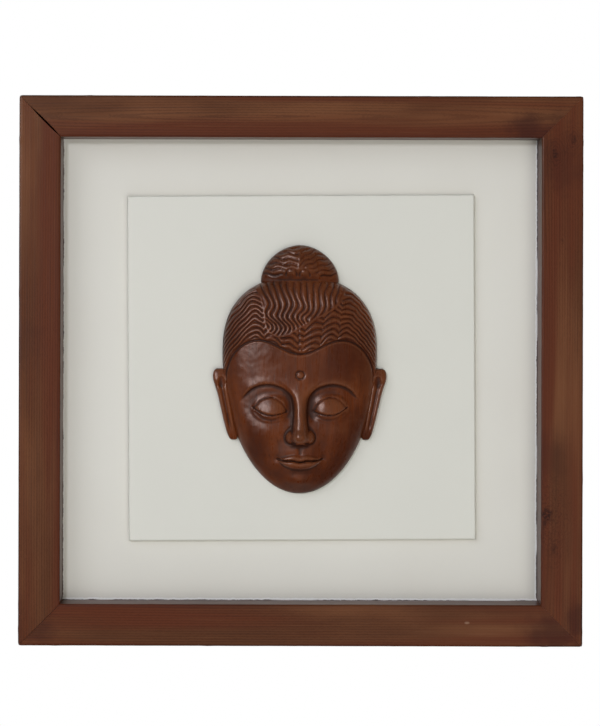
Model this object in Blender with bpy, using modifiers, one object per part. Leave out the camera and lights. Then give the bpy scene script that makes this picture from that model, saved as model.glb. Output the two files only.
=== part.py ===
"""A carved wooden buddha mask on a raised panel in a deep wooden frame."""
from math import cos, pi, radians, sin, sqrt

import bmesh
import bpy
import numpy as np
from mathutils import Matrix

for old in list(bpy.data.objects):
    bpy.data.objects.remove(old, do_unlink=True)

# Driving dimensions, in metres. The front faces -Y and the wall side lies in the plane y = 0.
# The origin is where the wall's nail bears, under the middle notch of the hanger plate.
FRAME_WIDTH = 0.406
FRAME_HEIGHT = 0.396
FRAME_DEPTH = 0.034
RAIL_WIDTH = 0.030
RAIL_TOP = 0.013            # top of the frame above the origin
EDGE_RADIUS = 0.0014        # along a rail's front edges
CORNER_RADIUS = 0.0016      # at the frame's four outer corners
GAP = 0.0003                # between pieces that touch
REBATE_WIDTH = 0.008
REBATE_DEPTH = 0.010
BOARD_THICKNESS = 0.004
PANEL_WIDTH = 0.2525
PANEL_HEIGHT = 0.2510
PANEL_THICKNESS = 0.006
PANEL_RADIUS = 0.0016       # along the panel's front edges
PANEL_SIDE = 0.0008         # how far the panel sits off the frame's middle
PANEL_RAISE = 0.0018
PANEL_TURN = radians(0.4)   # and how far it hangs out of true
MASK_HEIGHT = 0.180
MASK_DEPTH = 0.0331
MASK_SIDE = -0.0006
MASK_RAISE = 0.0008

PLATE_LENGTH = 0.044
PLATE_HEIGHT = 0.0105
PLATE_THICKNESS = 0.0011
PLATE_INSET = 0.0008        # from the frame's back plane to the plate
TOOTH_PITCH = 0.004
TOOTH_DEPTH = 0.0014
SLOT_LENGTH = 0.034         # room for a nail's head, behind and under the teeth
SLOT_DEPTH = 0.0048
SLOT_BELOW = 0.0062
SLOT_ABOVE = 0.0030
NAIL_RADIUS = 0.0008
NAIL_HEAD_RADIUS = 0.0019
NAIL_HEAD_THICKNESS = 0.0004
NAIL_LENGTH = 0.0095
NAIL_FROM_END = 0.0026      # from the plate's end to a nail's middle
NAIL_POINT = 0.0018

CUT_PAST = 0.010            # how far a cutter runs past the face that it opens
STAGGER = 0.001             # between faces of cutters or joined solids that would else coincide
MERGE = 0.00001
HEAD_TRIANGLES = 6700       # about this many are left of each carved solid
KNOT_TRIANGLES = 950
EAR_TRIANGLES = 340
MIDDLE_Z = RAIL_TOP - FRAME_HEIGHT / 2
BOARD_FRONT = GAP - REBATE_DEPTH
PANEL_FRONT = BOARD_FRONT - GAP - PANEL_THICKNESS

# The mask is set out on a drawing, in units of about a millimetre
DRAWN_HEIGHT = 180.0      # chin to the top of the topknot
DRAWN_DEPTH = 38.5        # back to the tip of the nose
HEAD_CENTRE = 102.0       # height of the widest part of the head
HEAD_HALF_WIDTH = 56.0
CROWN = 157.2             # top of the skull, inside the topknot
CROWN_POWER = 2.42        # squareness of the outline above its widest part, and below it
JAW_POWER = 2.0
RIM = 4.0                 # straight edge all round, at the back
DOME_RISE = 23.0          # rise of the plain head above its rim
KNOT_BASE = 154.0         # height of the widest part of the topknot
KNOT_HALF_WIDTH = 28.2
KNOT_RISE = 26.0
KNOT_DROP = 11.0
KNOT_POWER = 1.86
EAR_MIDDLE = 64.6
EAR_HALF_HEIGHT = 25.8
EAR_POWER = 4.2
LOCK = 4.1                # width of a lock at the side of the head and on the topknot
CROWN_LOCK = 4.9          # and on the crown, at its top
SEAM = -1.0               # where the side locks meet, left of the middle

THIRD = 36.7              # hairline to brow, brow to nose base and nose base to chin
EYE = 20.8                # the face is five eyes wide
BROW = 2 * THIRD
EYE_LINE = 1.74 * THIRD
MOUTH_LINE = THIRD * 2 / 3


def smoothstep(low, high, value):
    """A smooth rise from 0 at low to 1 at high."""
    t = np.clip((value - low) / (high - low), 0, 1)
    return t * t * (3 - 2 * t)


def hill(x, z, centre_x, centre_z, half_x, half_z):
    """A soft oval rise of 1 that fades out all round."""
    return np.exp(-(((x - centre_x) / half_x) ** 2) - ((z - centre_z) / half_z) ** 2)


def pillow(x, z, centre_x, centre_z, half_x, half_z, power=0.5):
    """An oval rise of 1 that ends at its outline, steeply for a low power."""
    inside = 1 - ((x - centre_x) / half_x) ** 2 - ((z - centre_z) / half_z) ** 2
    return np.clip(inside, 0, None) ** power


def smooth_path(points, steps=10):
    """Many points along a smooth curve through a few."""
    p = np.array([points[0], *points, points[-1]], float)
    t = np.linspace(0, 1, steps, endpoint=False)[:, None]
    runs = []
    for i in range(1, len(p) - 2):
        a, b, c, d = p[i - 1], p[i], p[i + 1], p[i + 2]
        runs.append(0.5 * (2 * b + (c - a) * t + (2 * a - 5 * b + 4 * c - d) * t**2
                           + (3 * b - a - 3 * c + d) * t**3))
    return np.vstack([*runs, p[-1:]])


def curve(at, points):
    """A smooth curve through a few (position, value) pairs, read at many positions."""
    path = smooth_path(points)
    return np.interp(at, path[:, 0], path[:, 1])


def distance_to(path, x, z, reach):
    """Distance from a path, measured no further than reach."""
    found = np.full(x.shape, float(reach))
    low, high = path.min(0) - reach, path.max(0) + reach
    near = (x > low[0]) & (x < high[0]) & (z > low[1]) & (z < high[1])
    if not near.any():
        return found
    px, pz = x[near], z[near]
    best = np.full(px.shape, float(reach))
    for (ax, az), (bx, bz) in zip(path[:-1], path[1:]):
        dx, dz = bx - ax, bz - az
        length = dx * dx + dz * dz
        if length < 1e-12:
            continue
        t = np.clip(((px - ax) * dx + (pz - az) * dz) / length, 0, 1)
        best = np.minimum(best, np.hypot(px - ax - t * dx, pz - az - t * dz))
    found[near] = best
    return found


def cut(distance, half_width, depth):
    """Depth of a knife cut along a line at that distance."""
    return depth * np.clip(1 - (distance / half_width) ** 2, 0, None) ** 1.5


# The plain head
def radius_share(x, z):
    """0 in the middle of the head and 1 on its outline."""
    up = z > HEAD_CENTRE
    tall = np.where(up, CROWN - HEAD_CENTRE, HEAD_CENTRE)
    power = np.where(up, CROWN_POWER, JAW_POWER)
    side = np.abs(x) / HEAD_HALF_WIDTH
    return (side**power + (np.abs(z - HEAD_CENTRE) / tall) ** power) ** (1 / power)


def dome(r):
    """Height of the plain head, without face or hair."""
    return RIM + DOME_RISE * np.clip(1 - r**2.6, 0, None) ** 0.55


# The face, one side of it: the other is its mirror image
BROW_PATH = smooth_path([(3.9, 52), (4.0, 62), (6.2, 71.6), (13, 78.2), (24, 80.6), (35, 77.4), (44.5, 68)])
UPPER_LID = smooth_path([(10.0, 61.0), (13.6, 66.6), (20.8, 70.2), (28.2, 68.2), (33.2, 62.6)])
SLIT = smooth_path([(9.4, 60.2), (14.5, 58.6), (20.8, 57.6), (27.4, 59.0), (34.0, 63.2)])
LOWER_LID = smooth_path([(11.6, 57.4), (16.5, 54.8), (21.5, 54.0), (27.0, 55.4), (32.0, 59.4)])
NOSE_WING = smooth_path([(7.0, 48.6), (9.8, 45.4), (10.9, 41.4), (9.7, 38.0), (6.9, 36.9), (4.4, 37.4)])
LIP_PARTING = [(0, -0.8), (2.5, -0.4), (5, 0.2), (9, 0.1), (13, 0.5), (16, 1.5), (18, 2.2)]
UPPER_LIP = [(0, 3.5), (1.8, 3.9), (4.4, 4.6), (9, 3.6), (13, 2.3), (16, 1.8), (18, 2.2)]
LOWER_LIP = [(0, 6.6), (3, 6.5), (7, 5.7), (11, 3.8), (14, 1.5), (16, -0.9), (18, -2.2)]


def brow_and_sockets(x, z):
    a = np.abs(x)
    d = distance_to(BROW_PATH, a, z, 14.0)
    level = np.interp(a, BROW_PATH[:, 0], BROW_PATH[:, 1])
    under = (z < level) & (a > BROW_PATH[0, 0])
    ends = smoothstep(52, 60, z) * smoothstep(44.5, 36, a)
    shelf = np.where(under, 2.4 * smoothstep(0, 1.5, d) * np.exp(-d / 7.0), 0) * ends
    ridge = np.where(under, 0.9 * smoothstep(2.0, 0, d), 0.9 * np.exp(-((d / 4.0) ** 2))) * ends
    hollow = 3.6 * hill(a, z, EYE - 1.5, EYE_LINE + 1, 15, 10.5) + 1.6 * hill(a, z, 8.6, 60, 4.2, 8)
    return ridge - shelf - hollow


def eyes(x, z):
    a = np.abs(x)
    ball = 5.8 * pillow(a, z, EYE + 0.2, EYE_LINE - 1.2, 15.6, 11.6, 1.6)
    level = np.interp(a, SLIT[:, 0], SLIT[:, 1])
    within = smoothstep(9.0, 12.5, a) * smoothstep(34.5, 30.5, a)
    lid = np.where(z > level, 1.0 * np.exp(-np.clip(z - level, 0, None) / 4.5), 0) * within
    lines = (cut(distance_to(SLIT, a, z, 3), 0.9, 1.1)
             + cut(distance_to(UPPER_LID, a, z, 3), 0.8, 0.9)
             + cut(distance_to(LOWER_LID, a, z, 3), 1.5, 0.45))
    return ball + lid - lines


def nose(x, z):
    a = np.abs(x)
    rise = curve(z, [(33.6, 0), (35.2, 0.6), (37.0, 7.6), (39.5, 11.6), (42.5, 12.6), (48, 10.8),
                     (56, 8.0), (64, 5.6), (72, 3.4), (78, 1.7), (84, 0.6), (91, 0.05), (98, 0), (106, 0)])
    foot = curve(z, [(33.6, 5.4), (37, 6.2), (40, 7.4), (43, 7.2), (48, 6.0), (58, 5.0), (66, 5.0),
                     (72, 6.6), (78, 11), (84, 18), (91, 26), (98, 30), (106, 30)])
    share = np.clip(a / foot, 0, 1)
    ridge = rise * np.clip(1 - share**2.6, 0, None) ** 0.9
    tip = 1.5 * pillow(x, z, 0, 42.0, 6.6, 5.4, 1.0)
    wing = 6.6 * pillow(a, z, 5.9, 41.4, 5.0, 5.2, 0.8)
    blend = 2.4 * pillow(a, z, 5.0, 41.6, 6.6, 7.0, 1.0)
    body = (ridge + tip + wing + np.sqrt((ridge + tip - wing) ** 2 + blend**2)) / 2
    nostril = 1.1 * pillow(a, z, 4.6, 37.4, 2.2, 1.3, 1.0)
    return body - cut(distance_to(NOSE_WING, a, z, 3), 1.3, 0.6) - nostril


def mouth(x, z):
    a = np.abs(x)
    middle = MOUTH_LINE + curve(a, LIP_PARTING)
    upper = MOUTH_LINE + curve(a, UPPER_LIP)
    lower = MOUTH_LINE - curve(a, LOWER_LIP)
    muzzle = 3.8 * hill(x, z, 0, MOUTH_LINE + 1, 19, 13)
    up = np.clip((z - middle) / np.maximum(upper - middle, 0.2), 0, 1)
    down = np.clip((middle - z) / np.maximum(middle - lower, 0.2), 0, 1)
    width = smoothstep(16.6, 10.5, a)
    lips = width * np.where(z > middle, 2.0 * np.sin(pi * up**0.8), 2.6 * np.sin(pi * down**0.9))
    reach = np.linspace(-16, 16, 60)
    parting = np.column_stack([reach, MOUTH_LINE + curve(np.abs(reach), LIP_PARTING)])
    line = cut(distance_to(parting, x, z, 3), 1.0, 1.5)
    corner = 1.2 * hill(a, z, 17.0, MOUTH_LINE + 1.8, 3.0, 3.0)
    philtrum = 1.1 * np.exp(-((x / 1.8) ** 2)) * smoothstep(28.0, 30, z) * smoothstep(36, 33.5, z)
    return muzzle + lips - line - corner - philtrum


def cheeks_and_chin(x, z):
    a = np.abs(x)
    cheek = 2.6 * hill(a, z, 27, 45, 14, 13)
    chin = 4.6 * hill(x, z, 0, 8.0, 13, 8)
    fold = 1.6 * hill(x, z, 0, 14.8, 11, 3.2)
    beside = 1.2 * hill(a, z, 15.5, 34, 4.8, 8)
    return cheek + chin - fold - beside


def urna(x, z):
    """The small round mark between the brows."""
    d = np.hypot(x, z - (BROW + 13.0))
    return 0.8 * np.clip(1 - (d / 2.5) ** 2, 0, None) ** 0.5 - cut(np.abs(d - 3.0), 0.85, 0.8)


# The hair
def hairline():
    """From the dip in the middle of the forehead up to an arch and down to the temple."""
    across = np.linspace(0, 30, 20)
    arch = 101.4 + 9.8 * (1 - np.cos(across / 30 * pi)) / 2
    turn = np.linspace(0, pi / 2, 16)[1:]
    side = np.column_stack([30 + 23.6 * np.sin(turn), 82 + 29.2 * np.cos(turn)])
    return np.vstack([np.column_stack([across, arch]), side])


HAIRLINE = hairline()
PARTING = smooth_path([(-33, 153), (-28.6, 143), (-26, 132), (-24.8, 122.5), (-21, 116.2), (-14.5, 114.2),
                       (-6.5, 116.8), (2.5, 122), (11.5, 127.3), (21.8, 132.6), (29.4, 140.2), (34, 153)], 8)
HIGHEST_LOCK = [(0, 147), (10, 148.5), (20, 150.4), (30, 150), (40, 144.4), (48, 137), (56, 127)]
LOWEST_LOCK = [(0, 101.4), (10, 103.8), (20, 109), (30, 111.4), (40, 108), (48, 100.5), (53, 92), (56, 84)]

# How the side locks wave on their way out: a crest at each whole number
LEFT_ARCHES = [(-2, -2.8), (2.5, -2.5), (8.7, -2), (20, -1), (33, 0), (43.5, 0.42), (56, 0.5)]
RIGHT_ARCHES = [(-2, -2.8), (2.5, -2.5), (9, -2), (21, -1), (34, 0), (45, 0.42), (56, 0.5)]


def above_hairline(x, z):
    """Distance above the hairline, or below it as a negative number."""
    a = np.abs(x)
    d = distance_to(HAIRLINE, a, z, 6.0)
    level = np.interp(a, HAIRLINE[:, 0], HAIRLINE[:, 1])
    inside = np.where(a <= HAIRLINE[-1, 0], z > level, z > HAIRLINE[-1, 1])
    return np.where(inside, d, -d)


def grooves(locks, depth):
    """Depth of the grooves between rounded locks that are numbered across their width."""
    share = 1 - 2 * np.abs(locks - np.round(locks))
    return depth * (0.5 * share**1.5 + 0.5 * (1 - np.sqrt(1 - share**2)))


def arches(turns):
    """A wave from -1 to 1 with round crests and sharp troughs."""
    off = 2 * np.abs(turns - np.round(turns))
    return 0.45 * np.cos(pi * off) + 0.55 * (np.sqrt(1 - 0.92 * off**2) - 0.64) / 0.36


def side_locks(x, z):
    """Numbers the locks that sweep from the middle over the side of the head, from the hairline up."""
    a = np.abs(x)
    low = curve(a, LOWEST_LOCK)
    high = curve(a, HIGHEST_LOCK)
    left = (1.5 + 0.9 * smoothstep(22, 28, a)) * arches(curve(a - 0.10 * (z - 118), LEFT_ARCHES))
    right = 1.7 * arches(curve(a - 0.14 * (z - 112), RIGHT_ARCHES))
    swell = smoothstep(151, 136, z) * (1 - 0.5 * smoothstep(38, 52, a))
    wave = swell * np.where(x < SEAM, left, right)
    uneven = 0.4 * np.sin(0.33 * x + 0.21 * z) + 0.3 * np.sin(0.71 * x - 0.37 * z)
    return (z - wave + uneven - low) / (high - low) * 41 / LOCK


def crown_locks(x, z):
    """Numbers the wavy locks that run down from the topknot to the partings."""
    fall = 153 - z
    turns = curve(z, [(108, 1.9), (113, 1.5), (119.5, 1.0), (127, 0.5), (137.5, 0), (151, -0.5), (160, -0.8)])
    swing = curve(z, [(108, 1.6), (120, 1.6), (128, 2.5), (136, 1.9), (144, 0.9), (160, 0.3)])
    swing = swing * (1.1 - 0.3 * smoothstep(-10, 20, x) + 0.15 * np.sin(0.5 * x))
    straight = x - swing * np.cos(2 * pi * (turns - 0.006 * x))
    top = (straight + 4.2 - 0.05 * fall) / (1 - 0.0108 * np.minimum(fall, 34))
    return (top + 0.35 * np.sin(0.45 * z + 0.3 * x)) / CROWN_LOCK


def hair(x, z):
    """Rounded locks with grooves between them, raised above the forehead."""
    inside = above_hairline(x, z)
    crown = z > np.interp(x, PARTING[:, 0], PARTING[:, 1], left=999, right=999)
    cuts = np.where(crown, grooves(crown_locks(x, z), 1.9), grooves(side_locks(x, z), 1.8))
    edge = smoothstep(0.2, 1.5, distance_to(PARTING, x, z, 3.0)) * smoothstep(0.3, 2.0, inside)
    seam = cut(np.abs(x - SEAM), 1.0, 0.4) * np.where(crown, 0, smoothstep(0.3, 2.0, inside))
    return 1.8 * smoothstep(0, 2.6, inside) - cuts * edge - seam - cut(np.abs(inside), 1.1, 1.3)


def head(x, z):
    """Height of the carved head above its flat back."""
    r = radius_share(x, z)
    features = (brow_and_sockets(x, z) + eyes(x, z) + nose(x, z) + mouth(x, z)
                + cheeks_and_chin(x, z) + urna(x, z))
    return dome(r) + smoothstep(1.0, 0.86, r) * features + smoothstep(1.0, 0.97, r) * hair(x, z)


# The topknot
def knot_share(x, z):
    """0 in the middle of the topknot and 1 on its outline."""
    side = np.abs(x) / KNOT_HALF_WIDTH
    tall = np.where(z > KNOT_BASE, KNOT_RISE, KNOT_DROP)
    return (side**KNOT_POWER + (np.abs(z - KNOT_BASE) / tall) ** KNOT_POWER) ** (1 / KNOT_POWER)


def topknot(x, z):
    """Height of the carved topknot: locks combed to both sides, two loops and a plain band at its foot."""
    r = knot_share(x, z)
    neck = 1 - 0.36 * smoothstep(163, 154, z)
    body = RIM + 15.0 * neck * np.clip(1 - r**2.4, 0, None) ** 0.6
    seam = -1.0 + 0.12 * (z - 164)
    level = z + 0.07 * x + 0.75 * np.sin(2 * pi * (x + 0.4 * z) / 10.5)
    slant = z - 11.0 * (1 - np.exp((seam - x) / 12.0)) + 0.7 * np.sin(2 * pi * (x + 0.3 * z) / 9.5)
    locks = (np.where(x < seam, level, slant) - 161.2) / LOCK
    start = 159.0 - 3.4 * smoothstep(9, 16, np.abs(x))
    cuts = grooves(locks, 1.7) * smoothstep(start, start + 2.4, z) * smoothstep(0.2, 1.4, np.abs(x - seam))
    loops, lobes = np.full(x.shape, 3.0), 0
    turn = np.linspace(-0.1, pi + 0.1, 16)
    for centre, foot, reach in ((-6.3, 158.6, 3.9), (3.2, 158.3, 3.7)):
        loop = np.column_stack([centre + reach * np.cos(turn), foot + reach * np.sin(turn)])
        loops = np.minimum(loops, distance_to(loop, x, z, 3.0))
        lobes = lobes + pillow(x, z, centre, foot, reach, reach)
    clear = smoothstep(0.8, 2.2, loops) * smoothstep(0.3, 0, lobes)
    middle = smoothstep(18, 12, np.abs(x))
    band = 0.4 * smoothstep(155.0, 156.0, z) * smoothstep(158.8, 157.6, z) * middle + 0.5 * lobes * (z > 158)
    cuts = cuts * clear + cut(loops, 1.2, 1.1)
    return np.maximum(body + band - cuts * smoothstep(1.0, 0.93, r) - 7 * smoothstep(154, 146, z), 1)


# The ears
def ear_centre(z):
    return 47.9 + (z - 39.5) * 0.190


def ear_half_width(z):
    return 4.2 + (z - 39.5) * 0.037 + 1.3 * np.exp(-(((z - 84) / 7.5) ** 2))


def ear_place(x, z):
    """Place across and along the ear, each from -1 to 1."""
    return (np.abs(x) - ear_centre(z)) / ear_half_width(z), (z - EAR_MIDDLE) / EAR_HALF_HEIGHT


def ear_share(x, z):
    u, v = ear_place(x, z)
    return (np.abs(u) ** EAR_POWER + np.abs(v) ** EAR_POWER) ** (1 / EAR_POWER)


def ear(x, z):
    """Height of a long ear with its rim, fold and pierced lobe."""
    u, v = ear_place(x, z)
    r = ear_share(x, z)
    body = RIM + 4.8 * np.clip(1 - r**3.0, 0, None) ** 0.45
    section = [(-1.2, -1.4), (-0.75, -1.2), (-0.42, 0.4), (-0.15, 0.7), (0.2, -1.1), (0.5, 0.2), (0.72, 0.9),
               (1.2, 0.6)]
    shape = curve(np.clip(u, -1.2, 1.2), section)
    fade = smoothstep(-0.86, -0.5, v) * smoothstep(0.62, 0.42, v)
    hollow = 2.0 * pillow(np.abs(x), z, 56.6, 80.6, 3.0, 4.6, 0.9)
    roll = 1.1 * smoothstep(0.5, 0.7, v)
    return body + shape * fade + roll - hollow


# Building with Blender's tools
def collection(name):
    """A new collection in the scene."""
    group = bpy.data.collections.new(name)
    bpy.context.scene.collection.children.link(group)
    return group


def paint(name, colour, roughness, metallic=0.0):
    """A plain material."""
    material = bpy.data.materials.new(name)
    material.use_nodes = True
    shader = material.node_tree.nodes["Principled BSDF"]
    shader.inputs["Base Color"].default_value = (*colour, 1)
    shader.inputs["Roughness"].default_value = roughness
    shader.inputs["Metallic"].default_value = metallic
    return material


PIECES = collection("buddha_mask")
CUTTERS = collection("cutters")
MIDDLE = bpy.data.objects.new("middle", None)
PIECES.objects.link(MIDDLE)
MIDDLE.location.z = MIDDLE_Z


def piece(name, data, place, material=None):
    """An object from a mesh or curve. Without a material it only cuts or joins another."""
    thing = bpy.data.objects.new(name, data)
    thing.location = place
    if material:
        PIECES.objects.link(thing)
        data.materials.append(material)
    else:
        CUTTERS.objects.link(thing)
        thing.hide_render = True
        thing.display_type = "WIRE"
    return thing


def mesh_from(bm, name):
    """A mesh with its faces pointing out."""
    bmesh.ops.recalc_face_normals(bm, faces=bm.faces)
    mesh = bpy.data.meshes.new(name)
    bm.to_mesh(mesh)
    bm.free()
    return mesh


def box(name, size, place, material=None):
    """A box about its place."""
    bm = bmesh.new()
    bmesh.ops.create_cube(bm, size=1, matrix=Matrix.Diagonal((*size, 1)))
    return piece(name, mesh_from(bm, name), place, material)


def flat_outline(name, outlines, thickness, place, material=None):
    """A flat curve across and up, with holes where another outline lies in the first."""
    drawn = bpy.data.curves.new(name, "CURVE")
    drawn.dimensions = "2D"
    drawn.fill_mode = "BOTH"
    drawn.extrude = thickness / 2
    for outline in outlines:
        spline = drawn.splines.new("POLY")
        spline.points.add(len(outline) - 1)
        for point, (across, up) in zip(spline.points, outline):
            point.co = (across, up, 0, 1)
        spline.use_cyclic_u = True
    return piece(name, drawn, place, material)


def as_mesh(thing):
    """Trades a curve object for a welded mesh of the same form and place."""
    bpy.context.view_layer.update()
    evaluated = thing.evaluated_get(bpy.context.evaluated_depsgraph_get())
    shaped = bpy.data.meshes.new_from_object(evaluated)
    bm = bmesh.new()
    bm.from_mesh(shaped)
    bmesh.ops.remove_doubles(bm, verts=bm.verts, dist=MERGE)
    mesh = mesh_from(bm, thing.name)
    for material in thing.data.materials:
        mesh.materials.append(material)
    name, place = thing.name, thing.matrix_world.copy()
    bpy.data.objects.remove(thing, do_unlink=True)
    bpy.data.meshes.remove(shaped)
    welded = bpy.data.objects.new(name, mesh)
    welded.matrix_world = place
    PIECES.objects.link(welded)
    return welded


def boolean(solid, other, operation="DIFFERENCE"):
    """Cuts, joins or limits a solid by another that stays in the scene."""
    step = solid.modifiers.new(other.name, "BOOLEAN")
    step.operation = operation
    step.object = other


def round_edges(solid, radius, chosen, segments=4):
    """Bevels the edges for which chosen says yes."""
    bm = bmesh.new()
    bm.from_mesh(solid.data)
    weight = bm.edges.layers.float.new("bevel_weight_edge")
    for edge in bm.edges:
        edge[weight] = float(chosen(*[vertex.co for vertex in edge.verts]))
    bm.to_mesh(solid.data)
    bm.free()
    bevel = solid.modifiers.new("rounded edges", "BEVEL")
    bevel.limit_method = "WEIGHT"
    bevel.width = radius
    bevel.segments = segments


def arc(centre, radius, start, turn, steps):
    """Points along an arc."""
    angles = [start + turn * k / steps for k in range(steps + 1)]
    return [(centre[0] + radius * cos(angle), centre[1] + radius * sin(angle)) for angle in angles]


def circle(centre, radius, steps=16):
    """Points round a circle."""
    return arc(centre, radius, 0, 2 * pi, steps)[:-1]


# The frame
def rail(name, half_length, outer, turn, wood, outside):
    """A mitred rail. Its section runs from the outer edge inwards, and from the wall forwards."""
    rebate = RAIL_WIDTH - REBATE_WIDTH
    front = -FRAME_DEPTH + EDGE_RADIUS
    section = [(0, 0)]
    section += arc((EDGE_RADIUS, front), EDGE_RADIUS, pi, pi / 2, 3)
    section += arc((RAIL_WIDTH - EDGE_RADIUS, front), EDGE_RADIUS, 1.5 * pi, pi / 2, 3)
    section += [(RAIL_WIDTH, -REBATE_DEPTH), (rebate, -REBATE_DEPTH), (rebate, 0)]
    blank = as_mesh(flat_outline(name, [section], 2 * half_length, (0, 0, 0), wood))
    bm = bmesh.new()
    bm.from_mesh(blank.data)
    for end in (-1, 1):
        bmesh.ops.bisect_plane(bm, geom=[*bm.verts, *bm.edges, *bm.faces], clear_outer=True,
                               plane_co=(0, 0, end * (half_length - GAP / sqrt(2))), plane_no=(1, 0, end))
        bmesh.ops.contextual_create(bm, geom=[edge for edge in bm.edges if edge.is_boundary])
    bm.to_mesh(blank.data)
    bm.free()
    blank.parent = MIDDLE
    blank.rotation_euler.y = turn
    blank.location = (-outer * cos(turn), 0, outer * sin(turn))
    boolean(blank, outside, "INTERSECT")
    return blank


def frame(wood):
    """The four rails. Returns the top one, which carries the hanger."""
    outside = box("outside", (FRAME_WIDTH, 3 * FRAME_DEPTH, FRAME_HEIGHT), (0, 0, MIDDLE_Z))
    round_edges(outside, CORNER_RADIUS, lambda a, b: a.x == b.x and a.z == b.z)
    tall, wide = FRAME_HEIGHT / 2, FRAME_WIDTH / 2
    rail("frame_left", tall, wide, 0, wood, outside)
    rail("frame_right", tall, wide, pi, wood, outside)
    rail("frame_bottom", wide, tall, -pi / 2, wood, outside)
    return rail("frame_top", wide, tall, pi / 2, wood, outside)


# The hanger, let into the back of the top rail
def nail_place(side):
    """Where a hanger nail goes in, across and up."""
    return side * (PLATE_LENGTH / 2 - NAIL_FROM_END), PLATE_HEIGHT / 2 - TOOTH_DEPTH


def cut_for_hanger(rail_top):
    """A seat for the plate, a slot for the head of the wall's nail, and holes for the plate's own nails."""
    depth = PLATE_INSET + PLATE_THICKNESS + GAP
    seat = box("plate seat", (PLATE_LENGTH + 2 * GAP, depth + CUT_PAST, PLATE_HEIGHT + 2 * GAP),
               (0, (CUT_PAST - depth) / 2, PLATE_HEIGHT / 2 - TOOTH_DEPTH))
    past = CUT_PAST + STAGGER
    slot = box("nail slot", (SLOT_LENGTH, SLOT_DEPTH + past, SLOT_BELOW + SLOT_ABOVE),
               (0, (past - SLOT_DEPTH) / 2, (SLOT_ABOVE - SLOT_BELOW) / 2))
    boolean(rail_top, seat)
    boolean(rail_top, slot)
    bore = NAIL_RADIUS + GAP
    for name, side in (("left", -1), ("right", 1)):
        across, up = nail_place(side)
        bm = bmesh.new()
        bmesh.ops.create_cone(bm, cap_ends=True, segments=12, radius1=bore, radius2=bore,
                              depth=2 * (NAIL_LENGTH + GAP), matrix=Matrix.Rotation(pi / 2, 4, "X"))
        hole = piece("nail hole " + name, mesh_from(bm, "nail hole"), (across, 0, up))
        boolean(rail_top, hole)


def hanger_plate(steel):
    """A steel strip whose lower edge is cut into teeth, so that the frame can be levelled on its nail."""
    low, high = -TOOTH_DEPTH, PLATE_HEIGHT - TOOTH_DEPTH
    half = PLATE_LENGTH / 2
    teeth = int(SLOT_LENGTH / 2 / TOOTH_PITCH - 1)
    outline = [(-half, high), (-half, low)]
    for k in range(-teeth, teeth + 1):
        outline += [((k - 0.5) * TOOTH_PITCH, low), (k * TOOTH_PITCH, 0)]
    outline += [((teeth + 0.5) * TOOTH_PITCH, low), (half, low), (half, high)]
    holes = [circle(nail_place(side), NAIL_RADIUS + GAP) for side in (-1, 1)]
    plate = flat_outline("hanger_plate", [outline, *holes], PLATE_THICKNESS,
                         (0, -PLATE_INSET - PLATE_THICKNESS / 2, 0), steel)
    plate.rotation_euler.x = pi / 2
    as_mesh(plate)


def hanger_nail(name, side, steel):
    """A turned nail with its head over the plate. Its profile runs down its outer side."""
    under, top = GAP, GAP + NAIL_HEAD_THICKNESS
    point = PLATE_INSET - NAIL_LENGTH
    profile = [(0, top), (NAIL_HEAD_RADIUS * 0.6, top)]
    profile += [(NAIL_HEAD_RADIUS, under + NAIL_HEAD_THICKNESS / 3), (NAIL_HEAD_RADIUS, under)]
    profile += [(NAIL_RADIUS, under), (NAIL_RADIUS, point + NAIL_POINT), (0, point)]
    bm = bmesh.new()
    spots = [bm.verts.new((radius, 0, height)) for radius, height in profile]
    for upper, lower in zip(spots, spots[1:]):
        bm.edges.new((upper, lower))
    across, up = nail_place(side)
    mesh = bpy.data.meshes.new(name)
    bm.to_mesh(mesh)
    bm.free()
    nail = piece(name, mesh, (across, -PLATE_INSET, up), steel)
    nail.rotation_euler.x = -pi / 2
    screw = nail.modifiers.new("turned", "SCREW")
    screw.steps = screw.render_steps = 16
    screw.use_merge_vertices = True
    screw.merge_threshold = MERGE


# The board and the panel
def board(cream):
    """The backing board, which fills the rebate."""
    around = RAIL_WIDTH - REBATE_WIDTH + GAP
    backing = box("backing_board", (FRAME_WIDTH - 2 * around, BOARD_THICKNESS, FRAME_HEIGHT - 2 * around),
                  (0, BOARD_FRONT + BOARD_THICKNESS / 2, 0), cream)
    backing.parent = MIDDLE


def panel(cream):
    """The raised panel, a little off the middle and out of true."""
    raised = box("raised_panel", (PANEL_WIDTH, PANEL_THICKNESS, PANEL_HEIGHT),
                 (PANEL_SIDE, PANEL_FRONT + PANEL_THICKNESS / 2, PANEL_RAISE), cream)
    round_edges(raised, PANEL_RADIUS, lambda a, b: a.y < 0 and b.y < 0)
    raised.rotation_euler.y = -PANEL_TURN
    raised.parent = MIDDLE


# The mask, from grids pressed into round outlines and raised by the drawing
UNIT = MASK_HEIGHT / DRAWN_HEIGHT
LIFT = MASK_DEPTH / DRAWN_DEPTH


def disc_grid(across, up):
    """A square grid pressed into a unit disc and drawn a little towards its edge."""
    bm = bmesh.new()
    bmesh.ops.create_grid(bm, x_segments=across, y_segments=up, size=1)
    even = np.array([spot.co[:2] for spot in bm.verts])
    s, t = (0.6 * even + 0.4 * np.sin(even * pi / 2)).T
    return bm, s * np.sqrt(1 - t**2 / 2), t * np.sqrt(1 - s**2 / 2)


def squared(u, v, power):
    """Presses the unit disc out towards a square with round corners."""
    size = np.hypot(u, v) + 1e-9
    stretch = (((np.abs(u) + 1e-9) / size) ** power + (np.abs(v) / size) ** power) ** (-1 / power)
    return u * stretch, v * stretch


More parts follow.
